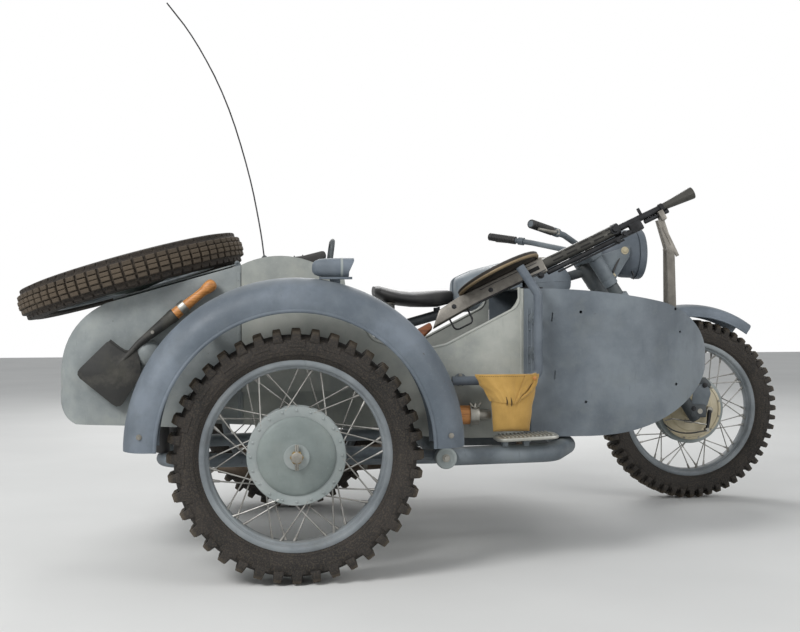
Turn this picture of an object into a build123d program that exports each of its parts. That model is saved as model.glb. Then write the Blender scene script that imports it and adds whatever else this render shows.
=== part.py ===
from build123d import *
import math
import os

# Sidecar motorcycle, in millimetres.
# While it is drawn, X is forward from the rear axle, Y is left from the motorcycle's centre
# plane and Z is up from the wheels' axle line. When it is written, the whole is moved to its
# own middle and lifted until its tyres stand on the ground.
ORIGIN_AHEAD = 519.5
ORIGIN_RIGHT = 415.0

# General arrangement
WHEELBASE = 1510.0
TRACK = 1120.0
RUNNING_GAP = 0.4
SEAT_GAP = 0.3
BRAKE_GAP = 5.0
SHEET = 3.0

# Wheels and tyres
TYRE_RADIUS = 340.0
TYRE_HALF_WIDTH = 56.0
FRONT_TYRE_HALF_WIDTH = 52.0
SPARE_TYRE_HALF_WIDTH = 50.0
RIM_LIP_RADIUS = 256.5
RIM_SEAT_RADIUS = 243.0
RIM_WELL_RADIUS = 231.0
RIM_HALF_WIDTH = 36.0
RIM_LIP_THICKNESS = 3.5
HUB_FLANGE_RADIUS = 132.0
HUB_BARREL_RADIUS = 112.0
HUB_COVER_RADIUS = 105.0
HUB_BOSS_RADIUS = 36.0
HUB_COVER_FACE = 46.0
HUB_BRAKE_FACE = 30.0
FLANGE_FACE = 25.0
FLANGE_THICKNESS = 6.0
AXLE_RADIUS = 10.0
SPOKES_PER_FLANGE = 20
SPOKE_WIDTH = 3.6
SPOKE_SWEEP = 24.0
SPOKE_OFFSET = 3.0
BRAKE_PLATE_THICKNESS = 9.0
NUT_RADIUS = 17.0
NUT_LENGTH = 16.0

# Steered front end
STEER_RAKE = 33.0
STEER_BEHIND_LEGS = 23.0
LEG_AHEAD_OF_AXLE = -27.0
LEG_HALF_SPACING = 107.0
SLIDER_RADIUS = 23.0
SHROUD_RADIUS = 27.0
LEG_FOOT = -40.0
LEG_TOP = 712.0
SHROUD_FOOT = 560.0
HEAD_TUBE_FOOT = 505.0
HEAD_TUBE_TOP = 655.0
HEAD_TUBE_RADIUS = 28.0
STEM_RADIUS = 14.0
YOKE_THICKNESS = 26.0
YOKE_REAR_RADIUS = 29.0
CLAMP_RISE = 60.0
CLAMP_RADIUS = 20.0
BAR_RADIUS = 11.0
BAR_BEND = 40.0
GRIP_RADIUS = 16.0
GRIP_START_SHARE = 0.37
LAMP_AXIS_HEIGHT = 590.0
LAMP_AHEAD = 72.0
LAMP_RADIUS = 92.0
LAMP_RIM_RADIUS = 96.0
LAMP_BOLT_AHEAD = 87.0

# Mudguards
FRONT_GUARD_CLEARANCE = 58.0
REAR_GUARD_CLEARANCE = 48.0
FRONT_GUARD_RADIUS = TYRE_RADIUS + FRONT_GUARD_CLEARANCE
REAR_GUARD_RADIUS = TYRE_RADIUS + REAR_GUARD_CLEARANCE
FRONT_GUARD_HALF_WIDTH = 68.0
REAR_GUARD_HALF_WIDTH = 72.0
GUARD_SKIRT = 46.0

# Motorcycle frame and engine
FRAME_TUBE = 16.0
CROSS_TUBE_RADIUS = 12.7
CRADLE_HALF_WIDTH = 114.0
CRADLE_HEIGHT = -100.0
DOWN_TUBE_FOOT_X = 950.0
DOWN_TUBE_SET_BACK = 10.0
UPRIGHT_X = 300.0
SEAT_NODE = (330, 0, 300)
REAR_RAIL_Y = 95.0
REAR_RAIL_FRONT = (200, REAR_GUARD_RADIUS - 13)
REAR_RAIL_BACK = (-120, REAR_GUARD_RADIUS + 32)
RAIL_CROSS_X = 60.0
ENGINE_FRONT = 885.0
ENGINE_REAR = 640.0
ENGINE_HALF_WIDTH = 108.0
SUMP_Z = -78.0
CASE_TOP_Z = 185.0
TIMING_COVER_RADIUS = 72.0
CYLINDER_X = 760.0
CYLINDER_Z = 60.0
CYLINDER_RADIUS = 46.0
FIN_RADIUS = 74.0
FIN_COUNT = 7
FIN_PITCH = 16.0
FIN_THICKNESS = 5.0
HEAD_LENGTH = 82.0
HEAD_FIN_COUNT = 6
HEAD_FIN_PITCH = 28.0
GEARBOX_REAR = 440.0
GEARBOX_HALF_WIDTH = 86.0
KICK_PIVOT = (470, -10)
CLEANER_X = 560.0
CLEANER_Z = 195.0
CLEANER_RADIUS = 64.0
CLEANER_HEIGHT = 110.0
CARBURETTOR_X = 640.0
CARBURETTOR_Y = 190.0
CARBURETTOR_TOP_Z = 140.0
HEADER_RADIUS = 19.0
HEADER_Z = -140.0
SILENCER_FRONT_X = 380.0
SILENCER_Y = 196.0
SILENCER_RADIUS = 44.0
SILENCER_LENGTH = 640.0
SWING_PIVOT_X = 372.0
SWING_PIVOT_Z = 5.0
SWING_ARM_Y = 78.0
SWING_TUBE = 15.0
SHOCK_Y = 121.0
SHOCK_RADIUS = 27.0
SHOCK_FOOT_Z = 100.0
SHOCK_LUG = (-12, 22)
STAND_PIVOT_X = 372.0
STAND_PIVOT_Z = -142.0
STAND_DROP = 36.0
STAND_PIN_RADIUS = 10.0
STAND_LENGTH = 235.0
STAND_HALF_WIDTH = 72.0
FOOTREST_X = 560.0
FOOTREST_END_Y = 175.0
FOOTREST_RADIUS = 15.0

# Tank and saddles
TANK_BEHIND_NECK = 75.0
TANK_CAP_RADIUS = 30.0
SADDLE_SPRING_X = 350.0
SADDLE_SPRING_Y = 78.0
SADDLE_SPRING_RADIUS = 24.0
SADDLE_CARRIER_Z = 354.0
PILLION_BASE_Z = REAR_RAIL_BACK[1] + 88
PILLION_HALF_WIDTH = 112.0
PILLION_RAIL_Y = 86.0
PILLION_HANDLE_RISE = 124.0

# Sidecar body
BODY_INSIDE_WHEEL = 160.0
BODY_WIDTH = 530.0
BODY_OUTER_Y = BODY_INSIDE_WHEEL - TRACK
BODY_INNER_Y = BODY_OUTER_Y + BODY_WIDTH
BODY_WALL = 3.0
NOSE_REAR_X = 655.0
TRUNK_FRONT_X = -150.0
PANEL_GAP = 0.3
BODY_FLOOR_FRONT = 18.0
BODY_FLOOR_REAR = 66.0
BODY_LOW = -40.0
BODY_HIGH = 660.0
BODY_REACH = 1500.0
OVERCUT = 130.0
FLOOR_FLAT_X = 500.0
TRUNK_FLOOR_X = -430.0
AXLE_RECESS_HALF_LENGTH = 300.0
AXLE_RECESS_TOP = 157.0
AXLE_RECESS_DEPTH = 130.0
TRUNK_SLOPE = 16.0
TRUNK_TOP_FRONT_Z = 513.0
TRUNK_TOP_LENGTH = 370.0
LID_GAP = 5.0
LID_THICKNESS = 4.0
LID_HINGE_RADIUS = 7.0
HINGE_PIN_RADIUS = 3.0
HINGE_SPACING = 180.0
LID_HINGE_X = -160.0
LID_HINGE_LIFT = 10.0
LID_FRONT_X = -178.0
LID_REAR_X = -505.0
SPARE_X = -462.0
SPARE_Y = BODY_OUTER_Y + 260
SPARE_LIFT = 7.0
SEAT_FRONT_X = 520.0
SEAT_REAR_X = 100.0

# Sidecar running gear
SIDECAR_TUBE = 20.0
OUTER_TUBE = 26.0
PIVOT_TUBE = 29.0
INNER_RAIL_Y = BODY_INNER_Y - 14
INNER_RAIL_FRONT = (838, -15)
INNER_RAIL_BACK = (-400, -44)
OUTER_RAIL_Y = 68 - TRACK
FRONT_TUBE_Z = -15.0
FRONT_TUBE_X = 720.0
REAR_LOOP_X = -380.0
REAR_LOOP_Y = BODY_OUTER_Y + 70
REAR_LOOP_Z = -43.0
STRUT_RADIUS = 11.0
ARM_PIVOT_X = 410.0
ARM_PIVOT_Z = -21.0
ARM_Y = OUTER_RAIL_Y + 26
ARM_TUBE = 17.0
ARM_EYE_RADIUS = 38.0
COUPLING_RADIUS = 30.0
GUARD_LIP_RADIUS = TYRE_RADIUS + 22
GUARD_CROWN_RADIUS = TYRE_RADIUS + 113
GUARD_CENTRE_Z = 22.0
GUARD_OUTER_Y = -TRACK - 90
GUARD_INNER_Y = 76 - TRACK
GUARD_STAY_RADIUS = 9.0
MARKER_X = 104.0
MARKER_Y = GUARD_OUTER_Y + 80
MARKER_RISE = 24.0
STEP_X = 640.0
STEP_Z = 32.0
GRAB_RADIUS = 13.0
GRAB_X = 688.0
GRAB_Y = BODY_OUTER_Y - 40

# Carried on the sidecar
BAG_THICKNESS = 40.0
SHOVEL_Y = BODY_OUTER_Y - 23
SHOVEL_HANDLE_RADIUS = 17.0
TOOL_Y = BODY_OUTER_Y - 34
TOOL_Z = 88.0
TOOL_RADIUS = 27.0
AERIAL_Y = BODY_INNER_Y - 32
AERIAL_RADIUS = 2.5
AERIAL_BASE_RADIUS = 14.0

# Gun, a solid display replica
GUN_Y = BODY_OUTER_Y + 110
GUN_FRONT_X = 742.0
GUN_FRONT_Z = 515.0
GUN_PITCH = 25.4
GUN_ROLL = 12.0
GUN_UNDERSIDE = -15.0
RECEIVER_HALF_WIDTH = 20.0
RECEIVER_TOP = 26.0
JACKET_RADIUS = 17.0
JACKET_LENGTH = 255.0
BARREL_RADIUS = 8.0
BARREL_END = 405.0
BORE_LINE = 4.0
STOCK_START = -383.3
PAN_U = -135.0
PAN_RADIUS = 132.0
PAN_THICKNESS = 26.0
GUN_POST_X = 690.0


def rod(start, end, radius):
    start, end = Vector(*start), Vector(*end)
    return Solid.make_cylinder(radius, (end - start).length, Plane(start, z_dir=end - start))


def bar(start, end, width, height, lean=(0, 0, 1)):
    start, end = Vector(*start), Vector(*end)
    along = end - start
    side = along.cross(Vector(*lean))
    section = Plane(start, x_dir=side, z_dir=along) * Rectangle(width, height)
    return extrude(section, amount=along.length)


def pipe(points, radius, bend):
    path = FilletPolyline(*points, radius=bend)
    return sweep(Plane(path @ 0, z_dir=path % 0) * Circle(radius), path=path)


def block(x_from, x_to, y_from, y_to, z_from, z_to):
    middle = ((x_from + x_to) / 2, (y_from + y_to) / 2, (z_from + z_to) / 2)
    return Pos(*middle) * Box(x_to - x_from, abs(y_to - y_from), abs(z_to - z_from))


def side_plate(points, y_from, y_to):
    outline = Polyline(*[(x, y_from, z) for x, z in points], close=True)
    return extrude(make_face(outline), amount=abs(y_to - y_from), dir=(0, math.copysign(1, y_to - y_from), 0))


def spin(points, start=0.0, turn=360.0):
    # Points are (y, radius), turned about the Y axis upwards from +X.
    outline = Polyline(*[(radius, y, 0) for y, radius in points], close=True)
    turned = revolve(make_face(outline), axis=Axis((0, 0, 0), (0, -1, 0)), revolution_arc=turn)
    return Rot(0, -start, 0) * turned


def mirrored(shape):
    return mirror(shape, about=Plane.XZ)


def fused(first, *others):
    return first.fuse(*others) if others else first


def pair(shape):
    return [shape, mirrored(shape)]


def on_polar(radius, angle, y):
    return (radius * math.cos(math.radians(angle)), y, radius * math.sin(math.radians(angle)))


# Wire wheel about the Y axis, its cover towards -Y

def make_rim():
    lip_inside = RIM_HALF_WIDTH - RIM_LIP_THICKNESS
    return spin([
        (-RIM_HALF_WIDTH, RIM_LIP_RADIUS),
        (-lip_inside, RIM_LIP_RADIUS),
        (-lip_inside, RIM_SEAT_RADIUS),
        (lip_inside, RIM_SEAT_RADIUS),
        (lip_inside, RIM_LIP_RADIUS),
        (RIM_HALF_WIDTH, RIM_LIP_RADIUS),
        (RIM_HALF_WIDTH, RIM_SEAT_RADIUS - RIM_LIP_THICKNESS),
        (RIM_HALF_WIDTH / 3, RIM_WELL_RADIUS),
        (-RIM_HALF_WIDTH / 3, RIM_WELL_RADIUS),
        (-RIM_HALF_WIDTH, RIM_SEAT_RADIUS - RIM_LIP_THICKNESS),
    ])


def make_hub():
    bore = AXLE_RADIUS + RUNNING_GAP
    flange_back = FLANGE_FACE - FLANGE_THICKNESS
    return spin([
        (-HUB_COVER_FACE, bore),
        (-HUB_COVER_FACE, HUB_BOSS_RADIUS),
        (-HUB_COVER_FACE + 6, HUB_BOSS_RADIUS),
        (-HUB_BRAKE_FACE, HUB_COVER_RADIUS),
        (-FLANGE_FACE, HUB_FLANGE_RADIUS),
        (-flange_back, HUB_FLANGE_RADIUS),
        (-flange_back, HUB_BARREL_RADIUS),
        (flange_back, HUB_BARREL_RADIUS),
        (flange_back, HUB_FLANGE_RADIUS),
        (FLANGE_FACE, HUB_FLANGE_RADIUS),
        (HUB_BRAKE_FACE, HUB_COVER_RADIUS),
        (HUB_BRAKE_FACE, bore),
    ])


def make_spokes():
    spokes = []
    pitch = 360 / SPOKES_PER_FLANGE
    hub_radius = HUB_FLANGE_RADIUS - 6
    rim_radius = RIM_WELL_RADIUS + 4
    for side in (-1, 1):
        for index in range(SPOKES_PER_FLANGE):
            sense = 1 if index % 2 else -1
            angle = pitch * (index + side / 4)
            hub_y = side * (FLANGE_FACE - FLANGE_THICKNESS / 2) + sense * SPOKE_OFFSET
            rim_y = side * RIM_HALF_WIDTH / 6 + sense * SPOKE_OFFSET
            head = on_polar(hub_radius, angle, hub_y)
            nipple = on_polar(rim_radius, angle + sense * SPOKE_SWEEP, rim_y)
            spokes.append(bar(head, nipple, SPOKE_WIDTH, SPOKE_WIDTH, lean=(0, 1, 0)))
    return spokes


def make_wheel():
    return fused(make_rim(), make_hub(), *make_spokes())


def make_tyre(half_width):
    bead = RIM_HALF_WIDTH - RIM_LIP_THICKNESS - SEAT_GAP
    seat = RIM_SEAT_RADIUS + SEAT_GAP
    height = TYRE_RADIUS - RIM_LIP_RADIUS
    half = [
        (bead, seat),
        (bead, RIM_LIP_RADIUS + 2),
        (half_width * 0.92, RIM_LIP_RADIUS + height * 0.34),
        (half_width, RIM_LIP_RADIUS + height * 0.62),
        (half_width * 0.84, RIM_LIP_RADIUS + height * 0.88),
        (half_width * 0.30, TYRE_RADIUS),
    ]
    return spin(half + [(-y, radius) for y, radius in reversed(half)])


def facing_left(shape):
    return Rot(0, 0, 180) * shape


# Curved mudguards about the Y axis

def guard_outline(half_width, radius, skirt):
    shoulder = half_width * 0.62
    return [
        (-half_width, radius - skirt),
        (-half_width, radius - skirt * 0.35),
        (-shoulder, radius - skirt * 0.08),
        (0, radius),
        (shoulder, radius - skirt * 0.08),
        (half_width, radius - skirt * 0.35),
        (half_width, radius - skirt),
    ]


def make_guard(half_width, radius, start, turn):
    outside = spin(guard_outline(half_width, radius, GUARD_SKIRT), start, turn)
    core = guard_outline(half_width - SHEET, radius - SHEET, GUARD_SKIRT)
    return outside - spin(core, start - 5, turn + 10)


# Steering axis, with heights measured along it from the axle line

RAKE_SIN = math.sin(math.radians(STEER_RAKE))
RAKE_COS = math.cos(math.radians(STEER_RAKE))
LEG_X = WHEELBASE + LEG_AHEAD_OF_AXLE
STEER_X = LEG_X - STEER_BEHIND_LEGS / RAKE_COS


def on_steering(along, y=0.0):
    return (STEER_X - along * RAKE_SIN, y, along * RAKE_COS)


def on_leg(along, y=LEG_HALF_SPACING):
    return (LEG_X - along * RAKE_SIN, y, along * RAKE_COS)


def along_leg_at(radius):
    # How far up a leg it is to this distance from the front axle.
    foot = LEG_AHEAD_OF_AXLE * RAKE_SIN
    return foot + math.sqrt(foot ** 2 + radius ** 2 - LEG_AHEAD_OF_AXLE ** 2)


def steering_plane(along):
    return Plane(on_steering(along), x_dir=(RAKE_COS, 0, RAKE_SIN), z_dir=(-RAKE_SIN, 0, RAKE_COS))


STEER_X_AT_LAMP = STEER_X - LAMP_AXIS_HEIGHT * RAKE_SIN / RAKE_COS
LAMP_REAR_X = STEER_X_AT_LAMP + LAMP_AHEAD
LOWER_YOKE = HEAD_TUBE_FOOT - BRAKE_GAP - YOKE_THICKNESS
UPPER_YOKE = HEAD_TUBE_TOP + BRAKE_GAP
CLAMP = on_steering(HEAD_TUBE_TOP + CLAMP_RISE)


def make_yoke(along):
    # A plate round the stem that widens to hold both legs.
    reach = STEER_BEHIND_LEGS
    out = LEG_HALF_SPACING + SHROUD_RADIUS + 5
    half = [
        (-YOKE_REAR_RADIUS * 0.87, YOKE_REAR_RADIUS * 0.5),
        (-YOKE_REAR_RADIUS * 0.5, YOKE_REAR_RADIUS * 0.87),
        (reach - 33, out - 30),
        (reach - 18, out),
        (reach + 18, out),
        (reach + 33, out - 18),
        (reach + 33, LEG_HALF_SPACING - SHROUD_RADIUS),
        (reach + 12, 40),
    ]
    outline = Polyline(*half, *[(u, -y) for u, y in reversed(half)], close=True)
    return extrude(steering_plane(along) * make_face(outline), amount=YOKE_THICKNESS)


def make_lamp_ear(side):
    # A plate from the leg's shroud to the lamp's bolt.
    bolt_x = LAMP_REAR_X + LAMP_BOLT_AHEAD
    bolt_z = LAMP_AXIS_HEIGHT + 8
    low = on_leg(SHROUD_FOOT + 16)
    high = on_leg(LEG_TOP - 30)
    inner = LAMP_RADIUS + 1
    plate = side_plate([
        (low[0] - 8, low[2] + 4),
        (low[0] + 26, low[2] + 10),
        (bolt_x + 18, bolt_z - 20),
        (bolt_x + 22, bolt_z),
        (bolt_x + 18, bolt_z + 18),
        (high[0], high[2]),
    ], side * inner, side * (inner + 8))
    boss = rod((bolt_x, side * (LAMP_RADIUS - 12), bolt_z), (bolt_x, side * (inner + 12), bolt_z), 11)
    return fused(plate, boss)


def make_fork():
    pieces = [make_yoke(LOWER_YOKE), make_yoke(UPPER_YOKE)]
    for side in (-1, 1):
        y = side * LEG_HALF_SPACING
        pieces.append(rod(on_leg(LEG_FOOT, y), on_leg(SHROUD_FOOT, y), SLIDER_RADIUS))
        pieces.append(rod(on_leg(SHROUD_FOOT, y), on_leg(LEG_TOP, y), SHROUD_RADIUS))
        pieces.append(block(LEG_X - 8, WHEELBASE + 26, y - SLIDER_RADIUS, y + SLIDER_RADIUS, -24, 24))
        stay = on_leg(along_leg_at(FRONT_GUARD_RADIUS - GUARD_SKIRT * 0.68), y)
        guard_side = side * (FRONT_GUARD_HALF_WIDTH + SEAT_GAP)
        pieces.append(rod((stay[0], guard_side, stay[2]), stay, 9))
        pieces.append(make_lamp_ear(side))
    axle_end = LEG_HALF_SPACING + 24
    pieces.append(rod((WHEELBASE, -axle_end, 0), (WHEELBASE, axle_end, 0), AXLE_RADIUS))
    pieces.append(rod(on_steering(LOWER_YOKE + 5), on_steering(UPPER_YOKE + 5), STEM_RADIUS))
    return fused(*pieces) - make_headlamp(SEAT_GAP)


def make_front_guard():
    return Pos(WHEELBASE, 0, 0) * make_guard(FRONT_GUARD_HALF_WIDTH, FRONT_GUARD_RADIUS, 54, 126)


def make_brake_plate():
    inner_face = -(HUB_BRAKE_FACE + BRAKE_GAP)
    outer_face = inner_face - BRAKE_PLATE_THICKNESS
    leg_face = -(LEG_HALF_SPACING - SLIDER_RADIUS - SEAT_GAP)
    bore = AXLE_RADIUS + SEAT_GAP
    profile = [
        (inner_face, bore),
        (inner_face, HUB_COVER_RADIUS + 12),
        (outer_face + 3, HUB_COVER_RADIUS + 12),
        (outer_face, HUB_COVER_RADIUS),
        (outer_face, 30),
        (leg_face, 22),
        (leg_face, bore),
    ]
    return Pos(WHEELBASE, 0, 0) * spin(profile)


def make_headlamp(grown=0.0):
    profile = [
        # ahead of the lamp's rear end, radius
        (0, 0), (0, 30), (22, 58), (62, 76), (97, 90), (149, LAMP_RADIUS),
        (149, LAMP_RIM_RADIUS), (177, LAMP_RIM_RADIUS), (177, 87), (184, 50), (188, 0),
    ]
    ends = {profile[0][0]: -grown, profile[-1][0]: grown}
    outline = Polyline(*[(x + ends.get(x, 0), 0, radius + (grown if radius else 0)) for x, radius in profile],
                       close=True)
    return Pos(LAMP_REAR_X, 0, LAMP_AXIS_HEIGHT) * revolve(make_face(outline), axis=Axis.X)


def from_clamp(ahead, y, up):
    return (CLAMP[0] + ahead, y, CLAMP[2] + up)


def make_handlebar():
    bend, end = from_clamp(-106, -250, 45), from_clamp(-254, -372, 76)
    half = pipe([CLAMP, from_clamp(8, -90, 6), bend, end], BAR_RADIUS, BAR_BEND)
    grip_start = Vector(*bend) + (Vector(*end) - Vector(*bend)) * GRIP_START_SHARE
    grip = rod(tuple(grip_start), end, GRIP_RADIUS)
    stem = rod(on_steering(UPPER_YOKE + YOKE_THICKNESS + SEAT_GAP), CLAMP, CLAMP_RADIUS)
    return fused(stem, half, mirrored(half), grip, mirrored(grip))


# Motorcycle frame

NECK_LOW = on_steering(HEAD_TUBE_FOOT + 30)
NECK_HIGH = on_steering(HEAD_TUBE_TOP - 30)
DOWN_TUBE_TOP = (NECK_LOW[0] - DOWN_TUBE_SET_BACK, 16, NECK_LOW[2])
DOWN_TUBE_FOOT = (DOWN_TUBE_FOOT_X, CRADLE_HALF_WIDTH, CRADLE_HEIGHT)
TANK_FRONT_X = NECK_HIGH[0] - TANK_BEHIND_NECK
BACKBONE_RADIUS = FRAME_TUBE + 2
REAR_RAIL_TUBE = FRAME_TUBE - 3
PIVOT_PLATE_INNER = CRADLE_HALF_WIDTH - 15


def on_side(point, side):
    return (point[0], side * point[1], point[2])


def rear_rail_z(x):
    run = REAR_RAIL_FRONT[0] - REAR_RAIL_BACK[0]
    return REAR_RAIL_FRONT[1] + (REAR_RAIL_FRONT[0] - x) * (REAR_RAIL_BACK[1] - REAR_RAIL_FRONT[1]) / run


def make_bike_frame():
    pieces = [rod(on_steering(HEAD_TUBE_FOOT), on_steering(HEAD_TUBE_TOP), HEAD_TUBE_RADIUS)]
    pieces.append(rod(NECK_HIGH, SEAT_NODE, BACKBONE_RADIUS))
    for side in (-1, 1):
        y = side * CRADLE_HALF_WIDTH
        seat_joint = (SEAT_NODE[0], side * 10, SEAT_NODE[2])
        pieces.append(pipe([
            on_side(DOWN_TUBE_TOP, side),
            on_side(DOWN_TUBE_FOOT, side),
            (UPRIGHT_X, y, CRADLE_HEIGHT),
            (UPRIGHT_X, y, SEAT_NODE[2] - 140),
            seat_joint,
        ], FRAME_TUBE, 45))
        pieces.append(pipe([
            seat_joint,
            (REAR_RAIL_FRONT[0], side * REAR_RAIL_Y, REAR_RAIL_FRONT[1]),
            (REAR_RAIL_BACK[0], side * REAR_RAIL_Y, REAR_RAIL_BACK[1]),
        ], REAR_RAIL_TUBE, 60))
        pieces.append(block(UPRIGHT_X - 10, SWING_PIVOT_X + 23,
                            side * PIVOT_PLATE_INNER, side * (PIVOT_PLATE_INNER + 8),
                            SWING_PIVOT_Z - 25, SWING_PIVOT_Z + 25))
        pieces.append(block(STAND_PIVOT_X - 18, STAND_PIVOT_X + 18,
                            side * (STAND_HALF_WIDTH + 14), side * (STAND_HALF_WIDTH + 32),
                            STAND_PIVOT_Z - 15, CRADLE_HEIGHT))
    for x in (GEARBOX_REAR + 60, ENGINE_FRONT - 25):
        z = CRADLE_HEIGHT + 9
        pieces.append(rod((x, -CRADLE_HALF_WIDTH, z), (x, CRADLE_HALF_WIDTH, z), CROSS_TUBE_RADIUS))
    rail_z = rear_rail_z(RAIL_CROSS_X)
    pieces.append(rod((RAIL_CROSS_X, -REAR_RAIL_Y, rail_z), (RAIL_CROSS_X, REAR_RAIL_Y, rail_z),
                      REAR_RAIL_TUBE - 2))
    stem_bore = rod(on_steering(LOWER_YOKE), on_steering(UPPER_YOKE + YOKE_THICKNESS),
                    STEM_RADIUS + RUNNING_GAP)
    reach = STAND_HALF_WIDTH + 60
    stand_bore = rod((STAND_PIVOT_X, -reach, STAND_PIVOT_Z), (STAND_PIVOT_X, reach, STAND_PIVOT_Z),
                     STAND_PIN_RADIUS + RUNNING_GAP)
    return fused(*pieces) - stem_bore - stand_bore


def make_engine():
    case_half = ENGINE_HALF_WIDTH - 18
    case = side_plate([
        (ENGINE_REAR, SUMP_Z), (ENGINE_FRONT - 20, SUMP_Z), (ENGINE_FRONT, SUMP_Z + 38),
        (ENGINE_FRONT, CASE_TOP_Z - 55), (ENGINE_FRONT - 50, CASE_TOP_Z), (ENGINE_REAR + 40, CASE_TOP_Z),
        (ENGINE_REAR, CASE_TOP_Z - 25),
    ], -case_half, case_half)
    cover = Pos(ENGINE_FRONT, 0, CYLINDER_Z) * Rot(0, 90, 0) * Cylinder(TIMING_COVER_RADIUS, 36)
    ears = [rod((CYLINDER_X, side * (ENGINE_HALF_WIDTH - 30), CYLINDER_Z),
                (CYLINDER_X, side * ENGINE_HALF_WIDTH, CYLINDER_Z), FIN_RADIUS - 8) for side in (-1, 1)]
    return fused(case, cover, *ears)


def make_cylinder():
    # A finned barrel turned as one profile, with a finned head on its end.
    y = ENGINE_HALF_WIDTH + SEAT_GAP
    profile = [(y, 0), (y, CYLINDER_RADIUS)]
    for index in range(FIN_COUNT):
        fin = y + 10 + index * FIN_PITCH
        profile += [
            (fin, CYLINDER_RADIUS), (fin, FIN_RADIUS),
            (fin + FIN_THICKNESS, FIN_RADIUS), (fin + FIN_THICKNESS, CYLINDER_RADIUS),
        ]
    barrel_end = y + 10 + FIN_COUNT * FIN_PITCH
    profile += [(barrel_end, CYLINDER_RADIUS), (barrel_end, 0)]
    barrel = spin(profile)
    head = block(-92, 70, barrel_end, barrel_end + 22, -58, 78)
    for index in range(HEAD_FIN_COUNT):
        x = -84 + index * HEAD_FIN_PITCH
        head = head + block(x, x + 6, barrel_end + 22, barrel_end + HEAD_LENGTH - 22, -52, 72)
    return Pos(CYLINDER_X, 0, CYLINDER_Z) * fused(barrel, head)


def make_gearbox():
    front = ENGINE_REAR - PANEL_GAP
    half = GEARBOX_HALF_WIDTH
    case = side_plate([
        (GEARBOX_REAR, SUMP_Z + 23), (GEARBOX_REAR + 30, SUMP_Z), (front, SUMP_Z),
        (front, 130), (GEARBOX_REAR + 70, 100), (GEARBOX_REAR, CYLINDER_Z),
    ], -half, half)
    pivot_x, pivot_z = KICK_PIVOT
    pedal_x, pedal_z = pivot_x - 25, pivot_z + 150
    selector = rod((pivot_x + 70, half, 0), (pivot_x + 70, half + 18, 0), 26)
    boss = rod((pivot_x, half, pivot_z), (pivot_x, half + 26, pivot_z), 10)
    crank = bar((pivot_x, half + 20, pivot_z), (pedal_x, half + 26, pedal_z), 12, 12)
    tread = rod((pedal_x, half + 22, pedal_z), (pedal_x, half + 89, pedal_z), 9)
    return fused(case, selector, boss, crank, tread)


def make_intake():
    low = CLEANER_Z - CLEANER_HEIGHT / 2
    cleaner = Pos(CLEANER_X, 0, CLEANER_Z) * Cylinder(CLEANER_RADIUS, CLEANER_HEIGHT)
    stack = Pos(CLEANER_X, 0, low - 9) * Cylinder(30, 24)
    pieces = [cleaner, stack]
    manifold_end = CYLINDER_X - FIN_RADIUS - SEAT_GAP
    for side in (-1, 1):
        y = side * CARBURETTOR_Y
        pieces.append(pipe([
            (CLEANER_X + 40, side * 20, CLEANER_Z + 25),
            (CARBURETTOR_X, side * (CARBURETTOR_Y - 40), CLEANER_Z + 25),
            (CARBURETTOR_X, y, CARBURETTOR_TOP_Z - 10),
        ], 17, 28))
        pieces.append(rod((CARBURETTOR_X, y, CYLINDER_Z - 20), (CARBURETTOR_X, y, CARBURETTOR_TOP_Z), 24))
        pieces.append(rod((CARBURETTOR_X, y, CYLINDER_Z), (manifold_end, y, CYLINDER_Z), 15))
    return fused(*pieces)


def make_exhaust():
    header_x, header_y = CYLINDER_X + 45, ENGINE_HALF_WIDTH + 150
    header = pipe([
        (header_x, header_y, CYLINDER_Z - 58 - SEAT_GAP),
        (header_x, header_y, HEADER_Z),
        (SILENCER_FRONT_X + 180, SILENCER_Y, HEADER_Z),
        (SILENCER_FRONT_X - 50, SILENCER_Y, HEADER_Z + 8),
    ], HEADER_RADIUS, 55)
    outline = Polyline(*[(x, 0, radius) for x, radius in (
        (0, 0), (0, HEADER_RADIUS + 5), (50, SILENCER_RADIUS), (SILENCER_LENGTH - 100, SILENCER_RADIUS),
        (SILENCER_LENGTH, 18), (SILENCER_LENGTH, 0),
    )], close=True)
    silencer = revolve(make_face(outline), axis=Axis.X)
    silencer = Pos(SILENCER_FRONT_X, SILENCER_Y, HEADER_Z + 6) * Rot(0, 0, 180) * Rot(0, -3, 0) * silencer
    return fused(header, silencer)


def make_final_drive():
    bore = AXLE_RADIUS + SEAT_GAP
    inner_face = -(HUB_BRAKE_FACE + BRAKE_GAP + 6)
    housing = spin([
        (-128, bore), (-128, 45), (-104, 90), (-60, 102), (inner_face, 96), (inner_face, bore),
    ])
    case_y, case_z = -SWING_ARM_Y + 2, SWING_PIVOT_Z - 3
    case = rod((80, case_y, case_z), (GEARBOX_REAR - PANEL_GAP, case_y, case_z), 14)
    lug_rear, lug_front = SHOCK_LUG
    ear = block(lug_rear, lug_front, -SHOCK_Y - 12, -SHOCK_Y + 24, SHOCK_FOOT_Z - 40, SHOCK_FOOT_Z - SEAT_GAP)
    return fused(housing, case, ear)


def make_swing_arm():
    y = SWING_ARM_Y
    lug_rear, lug_front = SHOCK_LUG
    plate_face = PIVOT_PLATE_INNER - SEAT_GAP
    pieces = [rod((SWING_PIVOT_X, -55, SWING_PIVOT_Z), (SWING_PIVOT_X, plate_face, SWING_PIVOT_Z), 22)]
    pieces.append(rod((SWING_PIVOT_X, y, SWING_PIVOT_Z), (0, y, 0), SWING_TUBE))
    pieces.append(rod((0, y - 15, 0), (0, y + 18, 0), 26))
    pieces.append(rod((0, -127, 0), (0, y + 36, 0), AXLE_RADIUS))
    pieces.append(block(lug_rear, lug_front, y, SHOCK_Y + 12, 20, SHOCK_FOOT_Z - SEAT_GAP))
    pieces.append(block(lug_rear, lug_front, y, y + 18, 0, 40))
    return fused(*pieces)


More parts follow.
